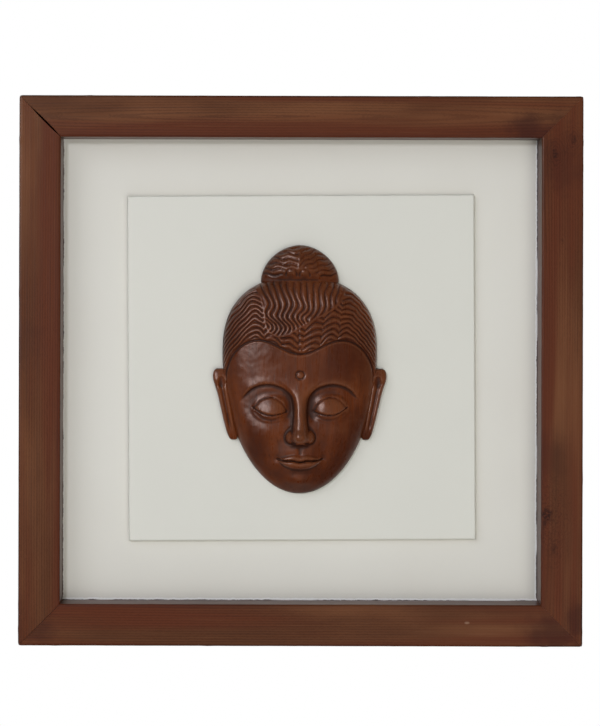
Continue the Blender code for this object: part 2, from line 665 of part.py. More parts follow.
def carved(name, bm, x, z, height, back, triangles, material=None):
    """A carved front over a straight edge, closed by a flat back and thinned to about so many triangles."""
    ratio = triangles / (2 * len(bm.faces))
    for spot, across, forward, up in zip(bm.verts, x * UNIT, height * LIFT, z * UNIT):
        spot.co = (across, -forward, up)
    rim = [edge for edge in bm.edges if edge.is_boundary]
    edge_of_back = bmesh.ops.extrude_edge_only(bm, edges=rim)["geom"]
    for spot in edge_of_back:
        if isinstance(spot, bmesh.types.BMVert):
            spot.co.y = back
    bmesh.ops.contextual_create(bm, geom=[edge for edge in bm.edges if edge.is_boundary])
    place = (MASK_SIDE, PANEL_FRONT - GAP, MIDDLE_Z - MASK_HEIGHT / 2 + MASK_RAISE)
    solid = piece(name, mesh_from(bm, name), place, material)
    solid.modifiers.new("fewer faces", "DECIMATE").ratio = ratio
    return solid


def mask(wood):
    """The head, joined with its topknot and ears and cut off flat where it meets the panel."""
    bm, u, v = disc_grid(190, 250)
    u, v = squared(u, v, np.where(v > 0, CROWN_POWER, JAW_POWER))
    x, z = u * HEAD_HALF_WIDTH, HEAD_CENTRE + v * np.where(v > 0, CROWN - HEAD_CENTRE, HEAD_CENTRE)
    skull = carved("mask", bm, x, z, head(x, z), STAGGER, HEAD_TRIANGLES, wood)

    bm, u, v = disc_grid(100, 72)
    u, v = squared(u, v, KNOT_POWER)
    x, z = u * KNOT_HALF_WIDTH, KNOT_BASE + v * np.where(v > 0, KNOT_RISE, KNOT_DROP)
    knot = carved("topknot", bm, x, z, topknot(x, z), 2 * STAGGER, KNOT_TRIANGLES)
    boolean(skull, knot, "UNION")

    for name, side in (("left", -1), ("right", 1)):
        bm, u, v = disc_grid(26, 96)
        u, v = squared(u, v, EAR_POWER)
        z = EAR_MIDDLE + v * EAR_HALF_HEIGHT
        x = side * (ear_centre(z) + u * ear_half_width(z))
        lobe = carved("ear " + name, bm, x, z, ear(x, z), 3 * STAGGER, EAR_TRIANGLES)
        boolean(skull, lobe, "UNION")

    behind = box("behind", (2 * MASK_HEIGHT, 2 * CUT_PAST, 2 * MASK_HEIGHT),
                 (0, PANEL_FRONT - GAP + CUT_PAST, MIDDLE_Z))
    boolean(skull, behind)


frame_wood = paint("frame_wood", (0.100, 0.036, 0.018), 0.45)
mask_wood = paint("mask_wood", (0.092, 0.030, 0.015), 0.38)
cream_paint = paint("cream_paint", (0.60, 0.60, 0.56), 0.75)
hanger_steel = paint("hanger_steel", (0.45, 0.44, 0.42), 0.35, 1.0)

cut_for_hanger(frame(frame_wood))
board(cream_paint)
panel(cream_paint)
mask(mask_wood)
hanger_plate(hanger_steel)
hanger_nail("hanger_nail_left", -1, hanger_steel)
hanger_nail("hanger_nail_right", 1, hanger_steel)
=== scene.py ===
"""Looks of a carved wooden buddha mask on a raised cream panel in a deep wooden frame."""
from math import cos, pi, radians, sin

import bmesh
import bpy
import numpy as np
from mathutils import Matrix, Vector, noise


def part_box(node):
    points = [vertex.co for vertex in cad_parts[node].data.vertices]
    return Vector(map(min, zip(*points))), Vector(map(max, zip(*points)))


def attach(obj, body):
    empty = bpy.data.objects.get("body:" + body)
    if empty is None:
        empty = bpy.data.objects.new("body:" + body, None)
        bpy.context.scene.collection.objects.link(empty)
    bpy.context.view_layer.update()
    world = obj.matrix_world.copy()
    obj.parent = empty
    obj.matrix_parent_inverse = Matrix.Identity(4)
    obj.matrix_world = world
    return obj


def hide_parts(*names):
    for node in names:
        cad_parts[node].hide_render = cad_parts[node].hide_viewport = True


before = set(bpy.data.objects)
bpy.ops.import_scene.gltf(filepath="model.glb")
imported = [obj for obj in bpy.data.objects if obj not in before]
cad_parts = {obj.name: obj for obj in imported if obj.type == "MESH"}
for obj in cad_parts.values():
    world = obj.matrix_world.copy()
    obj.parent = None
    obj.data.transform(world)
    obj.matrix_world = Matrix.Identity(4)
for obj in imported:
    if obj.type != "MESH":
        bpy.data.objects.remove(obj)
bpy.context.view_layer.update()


def put_in_scene(name, data):
    """A new object with a mesh, lens or light."""
    thing = bpy.data.objects.new(name, data)
    bpy.context.scene.collection.objects.link(thing)
    return thing


# The frame's sides in metres, from its solids. The front faces -Y and the wall is the plane y = 0.
LEFT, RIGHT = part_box("frame_left")[0].x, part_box("frame_right")[1].x
BOTTOM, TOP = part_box("frame_bottom")[0].z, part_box("frame_top")[1].z
MIDDLE_Z = (BOTTOM + TOP) / 2
HALF_WIDTH, HALF_HEIGHT = (RIGHT - LEFT) / 2, (TOP - BOTTOM) / 2
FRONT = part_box("frame_top")[0].y
RAIL_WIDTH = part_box("frame_left")[1].x - LEFT
BOARD_FRONT, BOARD_BACK = (corner.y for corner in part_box("backing_board"))
PANEL_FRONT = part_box("raised_panel")[0].y
MASK_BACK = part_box("mask")[1].y

# Sizes that the solids' boxes don't give
REBATE_WIDTH = 0.008
REBATE_DEPTH = 0.010
EDGE_RADIUS = 0.0014      # along the rails' front edges
CORNER_RADIUS = 0.0016    # at the frame's outer corners
TIGHT = 0.00003           # half the opening of a closed mitre
PANEL_WIDTH = 0.2525
PANEL_HEIGHT = 0.2510
PANEL_THICKNESS = 0.006
PANEL_RADIUS = 0.0016
PANEL_SIDE = 0.0008       # right of the frame's middle
PANEL_RAISE = 0.0018      # above it
PANEL_TURN = radians(0.4)
MASK_HEIGHT = 0.180
MASK_DEPTH = 0.0331
MASK_SIDE = -0.0006
MASK_RAISE = 0.0008
NAIL_RADIUS = 0.0008      # of the hanger plate's own nails
ROOM = 0.0003             # round what is let into the top rail
SLOT_LOW = (-0.017, -0.0048, -0.0062)   # space behind the plate for the head of the wall's nail
SLOT_HIGH = (0.017, 0.011, 0.0030)

# The camera stands a little above and to the left of the frame's middle and looks straight ahead
DISTANCE = 1.6
PIXELS_HIGH = 726
FRAME_PIXELS = 564.7      # width of the frame in the picture
PICTURE_OFF = (1.1, 7.9)  # how far right of and below the picture's middle the frame's middle lies
STANDS_LEFT = 0.034
STANDS_ABOVE = 0.0531
LEANS = radians(-0.15)    # turned about its line of sight

scale = FRAME_PIXELS / (RIGHT - LEFT)
lens = bpy.data.cameras.new("camera")
lens.sensor_width = 36
lens.lens = scale * DISTANCE / PIXELS_HIGH * lens.sensor_width
lens.shift_x = (STANDS_LEFT * scale - PICTURE_OFF[0]) / PIXELS_HIGH
lens.shift_y = (PICTURE_OFF[1] - STANDS_ABOVE * scale) / PIXELS_HIGH
camera = put_in_scene("camera", lens)
camera.location = (-STANDS_LEFT, FRONT - DISTANCE, MIDDLE_Z + STANDS_ABOVE)
camera.rotation_euler = (pi / 2, LEANS, 0)
bpy.context.scene.camera = camera

# The mask is set out on a drawing, in units of about a millimetre
DRAWN_HEIGHT = 180.0      # chin to the top of the topknot
DRAWN_DEPTH = 38.5        # back to the tip of the nose
HEAD_CENTRE = 102.0       # height of the widest part of the head
HEAD_HALF_WIDTH = 56.0
CROWN = 157.2             # top of the skull, inside the topknot
CROWN_POWER = 2.42        # squareness of the outline above its widest part, and below it
JAW_POWER = 2.0
RIM = 4.0                 # straight edge all round, at the back
DOME_RISE = 23.0          # rise of the plain head above its rim
KNOT_BASE = 154.0         # height of the widest part of the topknot
KNOT_HALF_WIDTH = 28.2
KNOT_RISE = 26.0
KNOT_DROP = 11.0
KNOT_POWER = 1.86
EAR_MIDDLE = 64.6
EAR_HALF_HEIGHT = 25.8
EAR_POWER = 4.2
LOBE = 39.5               # height of the ear's lobe
LOCK = 4.1                # width of a lock at the side of the head and on the topknot
CROWN_LOCK = 4.9          # and on the crown, at its top
SEAM = -1.0               # where the side locks meet, left of the middle

THIRD = 36.7              # hairline to brow, brow to nose base and nose base to chin
EYE = 20.8                # the face is five eyes wide
BROW = 2 * THIRD
EYE_LINE = 1.74 * THIRD
MOUTH_LINE = THIRD * 2 / 3


def smoothstep(low, high, value):
    """A smooth rise from 0 at low to 1 at high."""
    t = np.clip((value - low) / (high - low), 0, 1)
    return t * t * (3 - 2 * t)


def hill(x, z, centre_x, centre_z, half_x, half_z):
    """A soft oval rise of 1 that fades out all round."""
    return np.exp(-(((x - centre_x) / half_x) ** 2) - ((z - centre_z) / half_z) ** 2)


def pillow(x, z, centre_x, centre_z, half_x, half_z, power=0.5):
    """An oval rise of 1 that ends at its outline, steeply for a low power."""
    inside = 1 - ((x - centre_x) / half_x) ** 2 - ((z - centre_z) / half_z) ** 2
    return np.clip(inside, 0, None) ** power


def smooth_path(points, steps=10):
    """Many points along a smooth curve through a few."""
    p = np.array([points[0], *points, points[-1]], float)
    t = np.linspace(0, 1, steps, endpoint=False)[:, None]
    runs = []
    for i in range(1, len(p) - 2):
        a, b, c, d = p[i - 1], p[i], p[i + 1], p[i + 2]
        runs.append(0.5 * (2 * b + (c - a) * t + (2 * a - 5 * b + 4 * c - d) * t**2
                           + (3 * b - a - 3 * c + d) * t**3))
    return np.vstack([*runs, p[-1:]])


def curve(at, points):
    """A smooth curve through a few (position, value) pairs, read at many positions."""
    path = smooth_path(points)
    return np.interp(at, path[:, 0], path[:, 1])


def distance_to(path, x, z, reach):
    """Distance from a path, measured no further than reach."""
    found = np.full(x.shape, float(reach))
    low, high = path.min(0) - reach, path.max(0) + reach
    near = (x > low[0]) & (x < high[0]) & (z > low[1]) & (z < high[1])
    if not near.any():
        return found
    px, pz = x[near], z[near]
    best = np.full(px.shape, float(reach))
    for (ax, az), (bx, bz) in zip(path[:-1], path[1:]):
        dx, dz = bx - ax, bz - az
        length = dx * dx + dz * dz
        if length < 1e-12:
            continue
        t = np.clip(((px - ax) * dx + (pz - az) * dz) / length, 0, 1)
        best = np.minimum(best, np.hypot(px - ax - t * dx, pz - az - t * dz))
    found[near] = best
    return found


def cut(distance, half_width, depth):
    """Depth of a knife cut along a line at that distance."""
    return depth * np.clip(1 - (distance / half_width) ** 2, 0, None) ** 1.5


# The plain head
def radius_share(x, z):
    """0 in the middle of the head and 1 on its outline."""
    up = z > HEAD_CENTRE
    tall = np.where(up, CROWN - HEAD_CENTRE, HEAD_CENTRE)
    power = np.where(up, CROWN_POWER, JAW_POWER)
    side = np.abs(x) / HEAD_HALF_WIDTH
    return (side**power + (np.abs(z - HEAD_CENTRE) / tall) ** power) ** (1 / power)


def dome(r):
    """Height of the plain head, without face or hair."""
    return RIM + DOME_RISE * np.clip(1 - r**2.6, 0, None) ** 0.55


# The face, one side of it: the other is its mirror image
BROW_PATH = smooth_path([(3.9, 52), (4.0, 62), (6.2, 71.6), (13, 78.2), (24, 80.6), (35, 77.4),
                         (44.5, 68)])
UPPER_LID = smooth_path([(10.0, 61.0), (13.6, 66.6), (20.8, 70.2), (28.2, 68.2), (33.2, 62.6)])
SLIT = smooth_path([(9.4, 60.2), (14.5, 58.6), (20.8, 57.6), (27.4, 59.0), (34.0, 63.2)])
LOWER_LID = smooth_path([(11.6, 57.4), (16.5, 54.8), (21.5, 54.0), (27.0, 55.4), (32.0, 59.4)])
NOSE_WING = smooth_path([(7.0, 48.6), (9.8, 45.4), (10.9, 41.4), (9.7, 38.0), (6.9, 36.9), (4.4, 37.4)])
LIP_PARTING = [(0, -0.8), (2.5, -0.4), (5, 0.2), (9, 0.1), (13, 0.5), (16, 1.5), (18, 2.2)]
UPPER_LIP = [(0, 3.5), (1.8, 3.9), (4.4, 4.6), (9, 3.6), (13, 2.3), (16, 1.8), (18, 2.2)]
LOWER_LIP = [(0, 6.6), (3, 6.5), (7, 5.7), (11, 3.8), (14, 1.5), (16, -0.9), (18, -2.2)]


def brow_and_sockets(x, z):
    """The brow's ridge, the shelf under it and the hollow of the eye."""
    a = np.abs(x)
    d = distance_to(BROW_PATH, a, z, 14.0)
    level = np.interp(a, BROW_PATH[:, 0], BROW_PATH[:, 1])
    under = (z < level) & (a > BROW_PATH[0, 0])
    ends = smoothstep(52, 60, z) * smoothstep(44.5, 36, a)
    shelf = np.where(under, 2.4 * smoothstep(0, 1.5, d) * np.exp(-d / 7.0), 0) * ends
    ridge = np.where(under, 0.9 * smoothstep(2.0, 0, d), 0.9 * np.exp(-((d / 4.0) ** 2))) * ends
    hollow = 3.6 * hill(a, z, EYE - 1.5, EYE_LINE + 1, 15, 10.5) + 1.6 * hill(a, z, 8.6, 60, 4.2, 8)
    return ridge - shelf - hollow


def eyes(x, z):
    """The eyeball under lowered lids, and the lids' lines."""
    a = np.abs(x)
    ball = 5.8 * pillow(a, z, EYE + 0.2, EYE_LINE - 1.2, 15.6, 11.6, 1.6)
    level = np.interp(a, SLIT[:, 0], SLIT[:, 1])
    within = smoothstep(9.0, 12.5, a) * smoothstep(34.5, 30.5, a)
    lid = np.where(z > level, 1.0 * np.exp(-np.clip(z - level, 0, None) / 4.5), 0) * within
    lines = (cut(distance_to(SLIT, a, z, 3), 0.9, 1.1)
             + cut(distance_to(UPPER_LID, a, z, 3), 0.8, 0.9)
             + cut(distance_to(LOWER_LID, a, z, 3), 1.5, 0.45))
    return ball + lid - lines


def nose(x, z):
    """The ridge with its tip, wings and nostrils."""
    a = np.abs(x)
    rise = curve(z, [(33.6, 0), (35.2, 0.6), (37.0, 7.6), (39.5, 11.6), (42.5, 12.6), (48, 10.8),
                     (56, 8.0), (64, 5.6), (72, 3.4), (78, 1.7), (84, 0.6), (91, 0.05), (98, 0),
                     (106, 0)])
    foot = curve(z, [(33.6, 5.4), (37, 6.2), (40, 7.4), (43, 7.2), (48, 6.0), (58, 5.0), (66, 5.0),
                     (72, 6.6), (78, 11), (84, 18), (91, 26), (98, 30), (106, 30)])
    share = np.clip(a / foot, 0, 1)
    ridge = rise * np.clip(1 - share**2.6, 0, None) ** 0.9
    tip = 1.5 * pillow(x, z, 0, 42.0, 6.6, 5.4, 1.0)
    wing = 6.6 * pillow(a, z, 5.9, 41.4, 5.0, 5.2, 0.8)
    blend = 2.4 * pillow(a, z, 5.0, 41.6, 6.6, 7.0, 1.0)
    body = (ridge + tip + wing + np.sqrt((ridge + tip - wing) ** 2 + blend**2)) / 2
    nostril = 1.1 * pillow(a, z, 4.6, 37.4, 2.2, 1.3, 1.0)
    return body - cut(distance_to(NOSE_WING, a, z, 3), 1.3, 0.6) - nostril


def mouth(x, z):
    """The lips and their parting on a soft rise, and the groove above them."""
    a = np.abs(x)
    middle = MOUTH_LINE + curve(a, LIP_PARTING)
    upper = MOUTH_LINE + curve(a, UPPER_LIP)
    lower = MOUTH_LINE - curve(a, LOWER_LIP)
    muzzle = 3.8 * hill(x, z, 0, MOUTH_LINE + 1, 19, 13)
    up = np.clip((z - middle) / np.maximum(upper - middle, 0.2), 0, 1)
    down = np.clip((middle - z) / np.maximum(middle - lower, 0.2), 0, 1)
    width = smoothstep(16.6, 10.5, a)
    lips = width * np.where(z > middle, 2.0 * np.sin(pi * up**0.8), 2.6 * np.sin(pi * down**0.9))
    reach = np.linspace(-16, 16, 60)
    parting = np.column_stack([reach, MOUTH_LINE + curve(np.abs(reach), LIP_PARTING)])
    line = cut(distance_to(parting, x, z, 3), 1.0, 1.5)
    corner = 1.2 * hill(a, z, 17.0, MOUTH_LINE + 1.8, 3.0, 3.0)
    philtrum = 1.1 * np.exp(-((x / 1.8) ** 2)) * smoothstep(28.0, 30, z) * smoothstep(36, 33.5, z)
    return muzzle + lips - line - corner - philtrum


def cheeks_and_chin(x, z):
    """The cheekbones and chin, with the folds above it and beside the mouth."""
    a = np.abs(x)
    cheek = 2.6 * hill(a, z, 27, 45, 14, 13)
    chin = 4.6 * hill(x, z, 0, 8.0, 13, 8)
    fold = 1.6 * hill(x, z, 0, 14.8, 11, 3.2)
    beside = 1.2 * hill(a, z, 15.5, 34, 4.8, 8)
    return cheek + chin - fold - beside


def urna(x, z):
    """The small round mark between the brows."""
    d = np.hypot(x, z - (BROW + 13.0))
    return 0.8 * np.clip(1 - (d / 2.5) ** 2, 0, None) ** 0.5 - cut(np.abs(d - 3.0), 0.85, 0.8)


# The hair
def hairline():
    """From the dip in the middle of the forehead up to an arch and down to the temple."""
    across = np.linspace(0, 30, 20)
    arch = 101.4 + 9.8 * (1 - np.cos(across / 30 * pi)) / 2
    turn = np.linspace(0, pi / 2, 16)[1:]
    side = np.column_stack([30 + 23.6 * np.sin(turn), 82 + 29.2 * np.cos(turn)])
    return np.vstack([np.column_stack([across, arch]), side])


HAIRLINE = hairline()
PARTING = smooth_path([(-33, 153), (-28.6, 143), (-26, 132), (-24.8, 122.5), (-21, 116.2),
                       (-14.5, 114.2), (-6.5, 116.8), (2.5, 122), (11.5, 127.3), (21.8, 132.6),
                       (29.4, 140.2), (34, 153)], 8)
HIGHEST_LOCK = [(0, 147), (10, 148.5), (20, 150.4), (30, 150), (40, 144.4), (48, 137), (56, 127)]
LOWEST_LOCK = [(0, 101.4), (10, 103.8), (20, 109), (30, 111.4), (40, 108), (48, 100.5), (53, 92),
               (56, 84)]

# How the side locks wave on their way out: a crest at each whole number
LEFT_ARCHES = [(-2, -2.8), (2.5, -2.5), (8.7, -2), (20, -1), (33, 0), (43.5, 0.42), (56, 0.5)]
RIGHT_ARCHES = [(-2, -2.8), (2.5, -2.5), (9, -2), (21, -1), (34, 0), (45, 0.42), (56, 0.5)]


def above_hairline(x, z):
    """Distance above the hairline, or below it as a negative number."""
    a = np.abs(x)
    d = distance_to(HAIRLINE, a, z, 6.0)
    level = np.interp(a, HAIRLINE[:, 0], HAIRLINE[:, 1])
    inside = np.where(a <= HAIRLINE[-1, 0], z > level, z > HAIRLINE[-1, 1])
    return np.where(inside, d, -d)


def grooves(locks, depth):
    """Depth of the grooves between rounded locks that are numbered across their width."""
    share = 1 - 2 * np.abs(locks - np.round(locks))
    return depth * (0.5 * share**1.5 + 0.5 * (1 - np.sqrt(1 - share**2)))


def arches(turns):
    """A wave from -1 to 1 with round crests and sharp troughs."""
    off = 2 * np.abs(turns - np.round(turns))
    return 0.45 * np.cos(pi * off) + 0.55 * (np.sqrt(1 - 0.92 * off**2) - 0.64) / 0.36


def side_locks(x, z):
    """Numbers the locks that sweep from the middle over the side of the head, from the hairline up."""
    a = np.abs(x)
    low = curve(a, LOWEST_LOCK)
    high = curve(a, HIGHEST_LOCK)
    left = (1.5 + 0.9 * smoothstep(22, 28, a)) * arches(curve(a - 0.10 * (z - 118), LEFT_ARCHES))
    right = 1.7 * arches(curve(a - 0.14 * (z - 112), RIGHT_ARCHES))
    swell = smoothstep(151, 136, z) * (1 - 0.5 * smoothstep(38, 52, a))
    wave = swell * np.where(x < SEAM, left, right)
    uneven = 0.4 * np.sin(0.33 * x + 0.21 * z) + 0.3 * np.sin(0.71 * x - 0.37 * z)
    return (z - wave + uneven - low) / (high - low) * 41 / LOCK


def crown_locks(x, z):
    """Numbers the wavy locks that run down from the topknot to the partings."""
    fall = 153 - z
    turns = curve(z, [(108, 1.9), (113, 1.5), (119.5, 1.0), (127, 0.5), (137.5, 0), (151, -0.5),
                      (160, -0.8)])
    swing = curve(z, [(108, 1.6), (120, 1.6), (128, 2.5), (136, 1.9), (144, 0.9), (160, 0.3)])
    swing = swing * (1.1 - 0.3 * smoothstep(-10, 20, x) + 0.15 * np.sin(0.5 * x))
    straight = x - swing * np.cos(2 * pi * (turns - 0.006 * x))
    top = (straight + 4.2 - 0.05 * fall) / (1 - 0.0108 * np.minimum(fall, 34))
    return (top + 0.35 * np.sin(0.45 * z + 0.3 * x)) / CROWN_LOCK


def hair(x, z):
    """Rounded locks with grooves between them, raised above the forehead."""
    inside = above_hairline(x, z)
    crown = z > np.interp(x, PARTING[:, 0], PARTING[:, 1], left=999, right=999)
    cuts = np.where(crown, grooves(crown_locks(x, z), 1.9), grooves(side_locks(x, z), 1.8))
    edge = smoothstep(0.2, 1.5, distance_to(PARTING, x, z, 3.0)) * smoothstep(0.3, 2.0, inside)
    seam = cut(np.abs(x - SEAM), 1.0, 0.4) * np.where(crown, 0, smoothstep(0.3, 2.0, inside))
    return 1.8 * smoothstep(0, 2.6, inside) - cuts * edge - seam - cut(np.abs(inside), 1.1, 1.3)


def head(x, z):
    """Height of the carved head above its flat back."""
    r = radius_share(x, z)
    features = (brow_and_sockets(x, z) + eyes(x, z) + nose(x, z) + mouth(x, z)
                + cheeks_and_chin(x, z) + urna(x, z))
    return dome(r) + smoothstep(1.0, 0.86, r) * features + smoothstep(1.0, 0.97, r) * hair(x, z)


# The topknot
def knot_share(x, z):
    """0 in the middle of the topknot and 1 on its outline."""
    side = np.abs(x) / KNOT_HALF_WIDTH
    tall = np.where(z > KNOT_BASE, KNOT_RISE, KNOT_DROP)
    return (side**KNOT_POWER + (np.abs(z - KNOT_BASE) / tall) ** KNOT_POWER) ** (1 / KNOT_POWER)


def topknot(x, z):
    """Height of the carved topknot: locks combed to both sides over two loops and a plain band."""
    r = knot_share(x, z)
    neck = 1 - 0.36 * smoothstep(163, 154, z)
    body = RIM + 15.0 * neck * np.clip(1 - r**2.4, 0, None) ** 0.6
    seam = -1.0 + 0.12 * (z - 164)
    level = z + 0.07 * x + 0.75 * np.sin(2 * pi * (x + 0.4 * z) / 10.5)
    slant = z - 11.0 * (1 - np.exp((seam - x) / 12.0)) + 0.7 * np.sin(2 * pi * (x + 0.3 * z) / 9.5)
    locks = (np.where(x < seam, level, slant) - 161.2) / LOCK
    start = 159.0 - 3.4 * smoothstep(9, 16, np.abs(x))
    cuts = (grooves(locks, 1.7) * smoothstep(start, start + 2.4, z)
            * smoothstep(0.2, 1.4, np.abs(x - seam)))
    loops, lobes = np.full(x.shape, 3.0), 0
    turn = np.linspace(-0.1, pi + 0.1, 16)
    for centre, foot, reach in ((-6.3, 158.6, 3.9), (3.2, 158.3, 3.7)):
        loop = np.column_stack([centre + reach * np.cos(turn), foot + reach * np.sin(turn)])
        loops = np.minimum(loops, distance_to(loop, x, z, 3.0))
        lobes = lobes + pillow(x, z, centre, foot, reach, reach)
    clear = smoothstep(0.8, 2.2, loops) * smoothstep(0.3, 0, lobes)
    middle = smoothstep(18, 12, np.abs(x))
    band = (0.4 * smoothstep(155.0, 156.0, z) * smoothstep(158.8, 157.6, z) * middle
            + 0.5 * lobes * (z > 158))
    cuts = cuts * clear + cut(loops, 1.2, 1.1)
    return np.maximum(body + band - cuts * smoothstep(1.0, 0.93, r) - 7 * smoothstep(154, 146, z), 1)


# The ears
def ear_centre(z):
    """Distance of the ear's middle from the middle of the mask."""
    return 47.9 + (z - LOBE) * 0.190


def ear_half_width(z):
    """Half the ear's width, which swells near its top."""
    return 4.2 + (z - LOBE) * 0.037 + 1.3 * np.exp(-(((z - 84) / 7.5) ** 2))


def ear_place(x, z):
    """Place across and along the ear, each from -1 to 1."""
    return (np.abs(x) - ear_centre(z)) / ear_half_width(z), (z - EAR_MIDDLE) / EAR_HALF_HEIGHT


def ear_share(x, z):
    """0 in the middle of the ear and 1 on its outline."""
    u, v = ear_place(x, z)
    return (np.abs(u) ** EAR_POWER + np.abs(v) ** EAR_POWER) ** (1 / EAR_POWER)


def ear(x, z):
    """Height of a long ear with its rim, fold and pierced lobe."""
    u, v = ear_place(x, z)
    r = ear_share(x, z)
    body = RIM + 4.8 * np.clip(1 - r**3.0, 0, None) ** 0.45
    section = [(-1.2, -1.4), (-0.75, -1.2), (-0.42, 0.4), (-0.15, 0.7), (0.2, -1.1), (0.5, 0.2),
               (0.72, 0.9), (1.2, 0.6)]
    shape = curve(np.clip(u, -1.2, 1.2), section)
    fade = smoothstep(-0.86, -0.5, v) * smoothstep(0.62, 0.42, v)
    hollow = 2.0 * pillow(np.abs(x), z, 56.6, 80.6, 3.0, 4.6, 0.9)
    roll = 1.1 * smoothstep(0.5, 0.7, v)
    return body + shape * fade + roll - hollow


# Meshes
def smooth(mesh, sharp_angle):
    """Shades a mesh smooth, but for edges sharper than an angle in degrees."""
    mesh.shade_smooth()
    mesh.set_sharp_from_angle(angle=radians(sharp_angle))


def solid(name, points, faces, sharp_angle=35):
    """A closed object, its faces pointing out, shaded smooth but for its sharp edges."""
    mesh = bpy.data.meshes.new(name)
    mesh.from_pydata(points, [], faces)
    bm = bmesh.new()
    bm.from_mesh(mesh)
    bmesh.ops.recalc_face_normals(bm, faces=bm.faces)
    bm.to_mesh(mesh)
    bm.free()
    smooth(mesh, sharp_angle)
    return put_in_scene(name, mesh)


def grid_faces(rows, columns):
    """Quads of a grid whose points run row by row."""
    index = np.arange(rows * columns).reshape(rows, columns)
    quads = np.stack([index[:-1, :-1], index[:-1, 1:], index[1:, 1:], index[1:, :-1]], -1)
    return quads.reshape(-1, 4).tolist()


def grid_rim(rows, columns):
    """The points round a grid, in order."""
    index = np.arange(rows * columns).reshape(rows, columns)
    return np.concatenate([index[0, :-1], index[:-1, -1], index[-1, :0:-1], index[:0:-1, 0]]).tolist()


def tube_faces(rows, columns):
    """Quads of a tube whose points run ring by ring, and its two ends."""
    ring = np.arange(rows * columns).reshape(rows, columns)
    following = np.roll(ring, -1, 1)
    quads = np.stack([ring[:-1], following[:-1], following[1:], ring[1:]], -1)
    return [*quads.reshape(-1, 4).tolist(), ring[0].tolist(), ring[-1].tolist()]


def block(name, low, high):
    """A box between two corners."""
    low, high = Vector(low), Vector(high)
    place = Matrix.Translation((low + high) / 2) @ Matrix.Diagonal((*(high - low), 1))
    bm = bmesh.new()
    bmesh.ops.create_cube(bm, size=1, matrix=place)
    mesh = bpy.data.meshes.new(name)
    bm.to_mesh(mesh)
    bm.free()
    return put_in_scene(name, mesh)


def combine(whole, joined, cut_away, sharp_angle):
    """Joins some solids to another and cuts others away. Both kinds are used up."""
    others = [(thing, "UNION") for thing in joined] + [(thing, "DIFFERENCE") for thing in cut_away]
    for other, operation in others:
        step = whole.modifiers.new(other.name, "BOOLEAN")
        step.operation = operation
        step.solver = "MANIFOLD"
        step.object = other
    bpy.context.view_layer.update()
    evaluated = whole.evaluated_get(bpy.context.evaluated_depsgraph_get())
    mesh = bpy.data.meshes.new_from_object(evaluated)
    mesh.materials.clear()
    smooth(mesh, sharp_angle)
    whole.modifiers.clear()
    whole.data = mesh
    for other, _ in others:
        bpy.data.objects.remove(other, do_unlink=True)


def unevenness(points, amount, size, seed=0.0):
    """Smooth noise at each point, up to about an amount, in waves of about a size."""
    return np.array([amount * noise.noise((p[0] / size + seed, p[1] / size, p[2] / size))
                     for p in points])


# The rails, each drawn with X along it, Z outwards from its outer edge and Y to the wall
RAIL_ROWS = 170           # cross-sections along a rail
SECTION_STEP = 0.0016     # between the points of a cross-section
NICK_DEPTH = 0.0007
NICK_INSET = 0.0004       # from the rail's sides to the middle of its rounded edges
NICK_REACH = 0.0012       # round that middle


def bend(centre, radius, start, turn, steps):
    """Points along an arc, both its ends among them."""
    angles = [start + turn * k / steps for k in range(steps + 1)]
    return [(centre[0] + radius * cos(a), centre[1] + radius * sin(a)) for a in angles]


def between(start, end, step):
    """Evenly spaced points on an upright or level line, without its ends."""
    count = max(1, round(abs(end[0] - start[0] + end[1] - start[1]) / step))
    return [(start[0] + (end[0] - start[0]) * k / count, start[1] + (end[1] - start[1]) * k / count)
            for k in range(1, count)]


def rail_section():
    """Distance in from the outer edge, and depth, round a rail."""
    near = FRONT + EDGE_RADIUS
    inner = RAIL_WIDTH - EDGE_RADIUS
    rebate = RAIL_WIDTH - REBATE_WIDTH
    corners = [[(0, 0)], bend((EDGE_RADIUS, near), EDGE_RADIUS, pi, pi / 2, 5),
               bend((inner, near), EDGE_RADIUS, 1.5 * pi, pi / 2, 5),
               [(RAIL_WIDTH, -REBATE_DEPTH)], [(rebate, -REBATE_DEPTH)], [(rebate, 0)]]
    section = []
    for corner, following in zip(corners, corners[1:] + corners[:1]):
        section += corner + between(corner[-1], following[0], SECTION_STEP)
    return np.array(section)


def section_normals(section):
    """Directions out of a rail at the points of its cross-section."""
    along = np.roll(section, -1, 0) - np.roll(section, 1, 0)
    normal = np.stack([np.zeros(len(section)), along[:, 0], along[:, 1]], -1)
    return normal / np.linalg.norm(normal, axis=1)[:, None]


def mitred(section, half, gap_start, gap_end):
    """Points of the cross-sections between two mitres, with the frame's outer corners rounded."""
    inward, depth = section.T
    share = np.linspace(-1, 1, RAIL_ROWS)
    share = (0.9 * share + 0.1 * np.sin(share * pi / 2))[:, None]
    opened = smoothstep(FRONT + 0.014, FRONT + 0.007, depth)
    reach_start = half - inward - TIGHT - gap_start(inward) * opened
    reach_end = half - inward - TIGHT - gap_end(inward) * opened
    x = np.where(share < 0, share * reach_start, share * reach_end)
    across = np.broadcast_to(inward, x.shape)
    past = half - np.abs(x)
    corner = (past < CORNER_RADIUS) & (across < CORNER_RADIUS)
    off = np.hypot(CORNER_RADIUS - past, CORNER_RADIUS - across)
    pull = np.where(corner & (off > CORNER_RADIUS), CORNER_RADIUS / np.maximum(off, 1e-9), 1)
    past = CORNER_RADIUS - (CORNER_RADIUS - past) * pull
    across = CORNER_RADIUS - (CORNER_RADIUS - across) * pull
    return np.stack([np.sign(x) * (half - past), np.broadcast_to(depth, x.shape), -across],
                    -1).reshape(-1, 3)


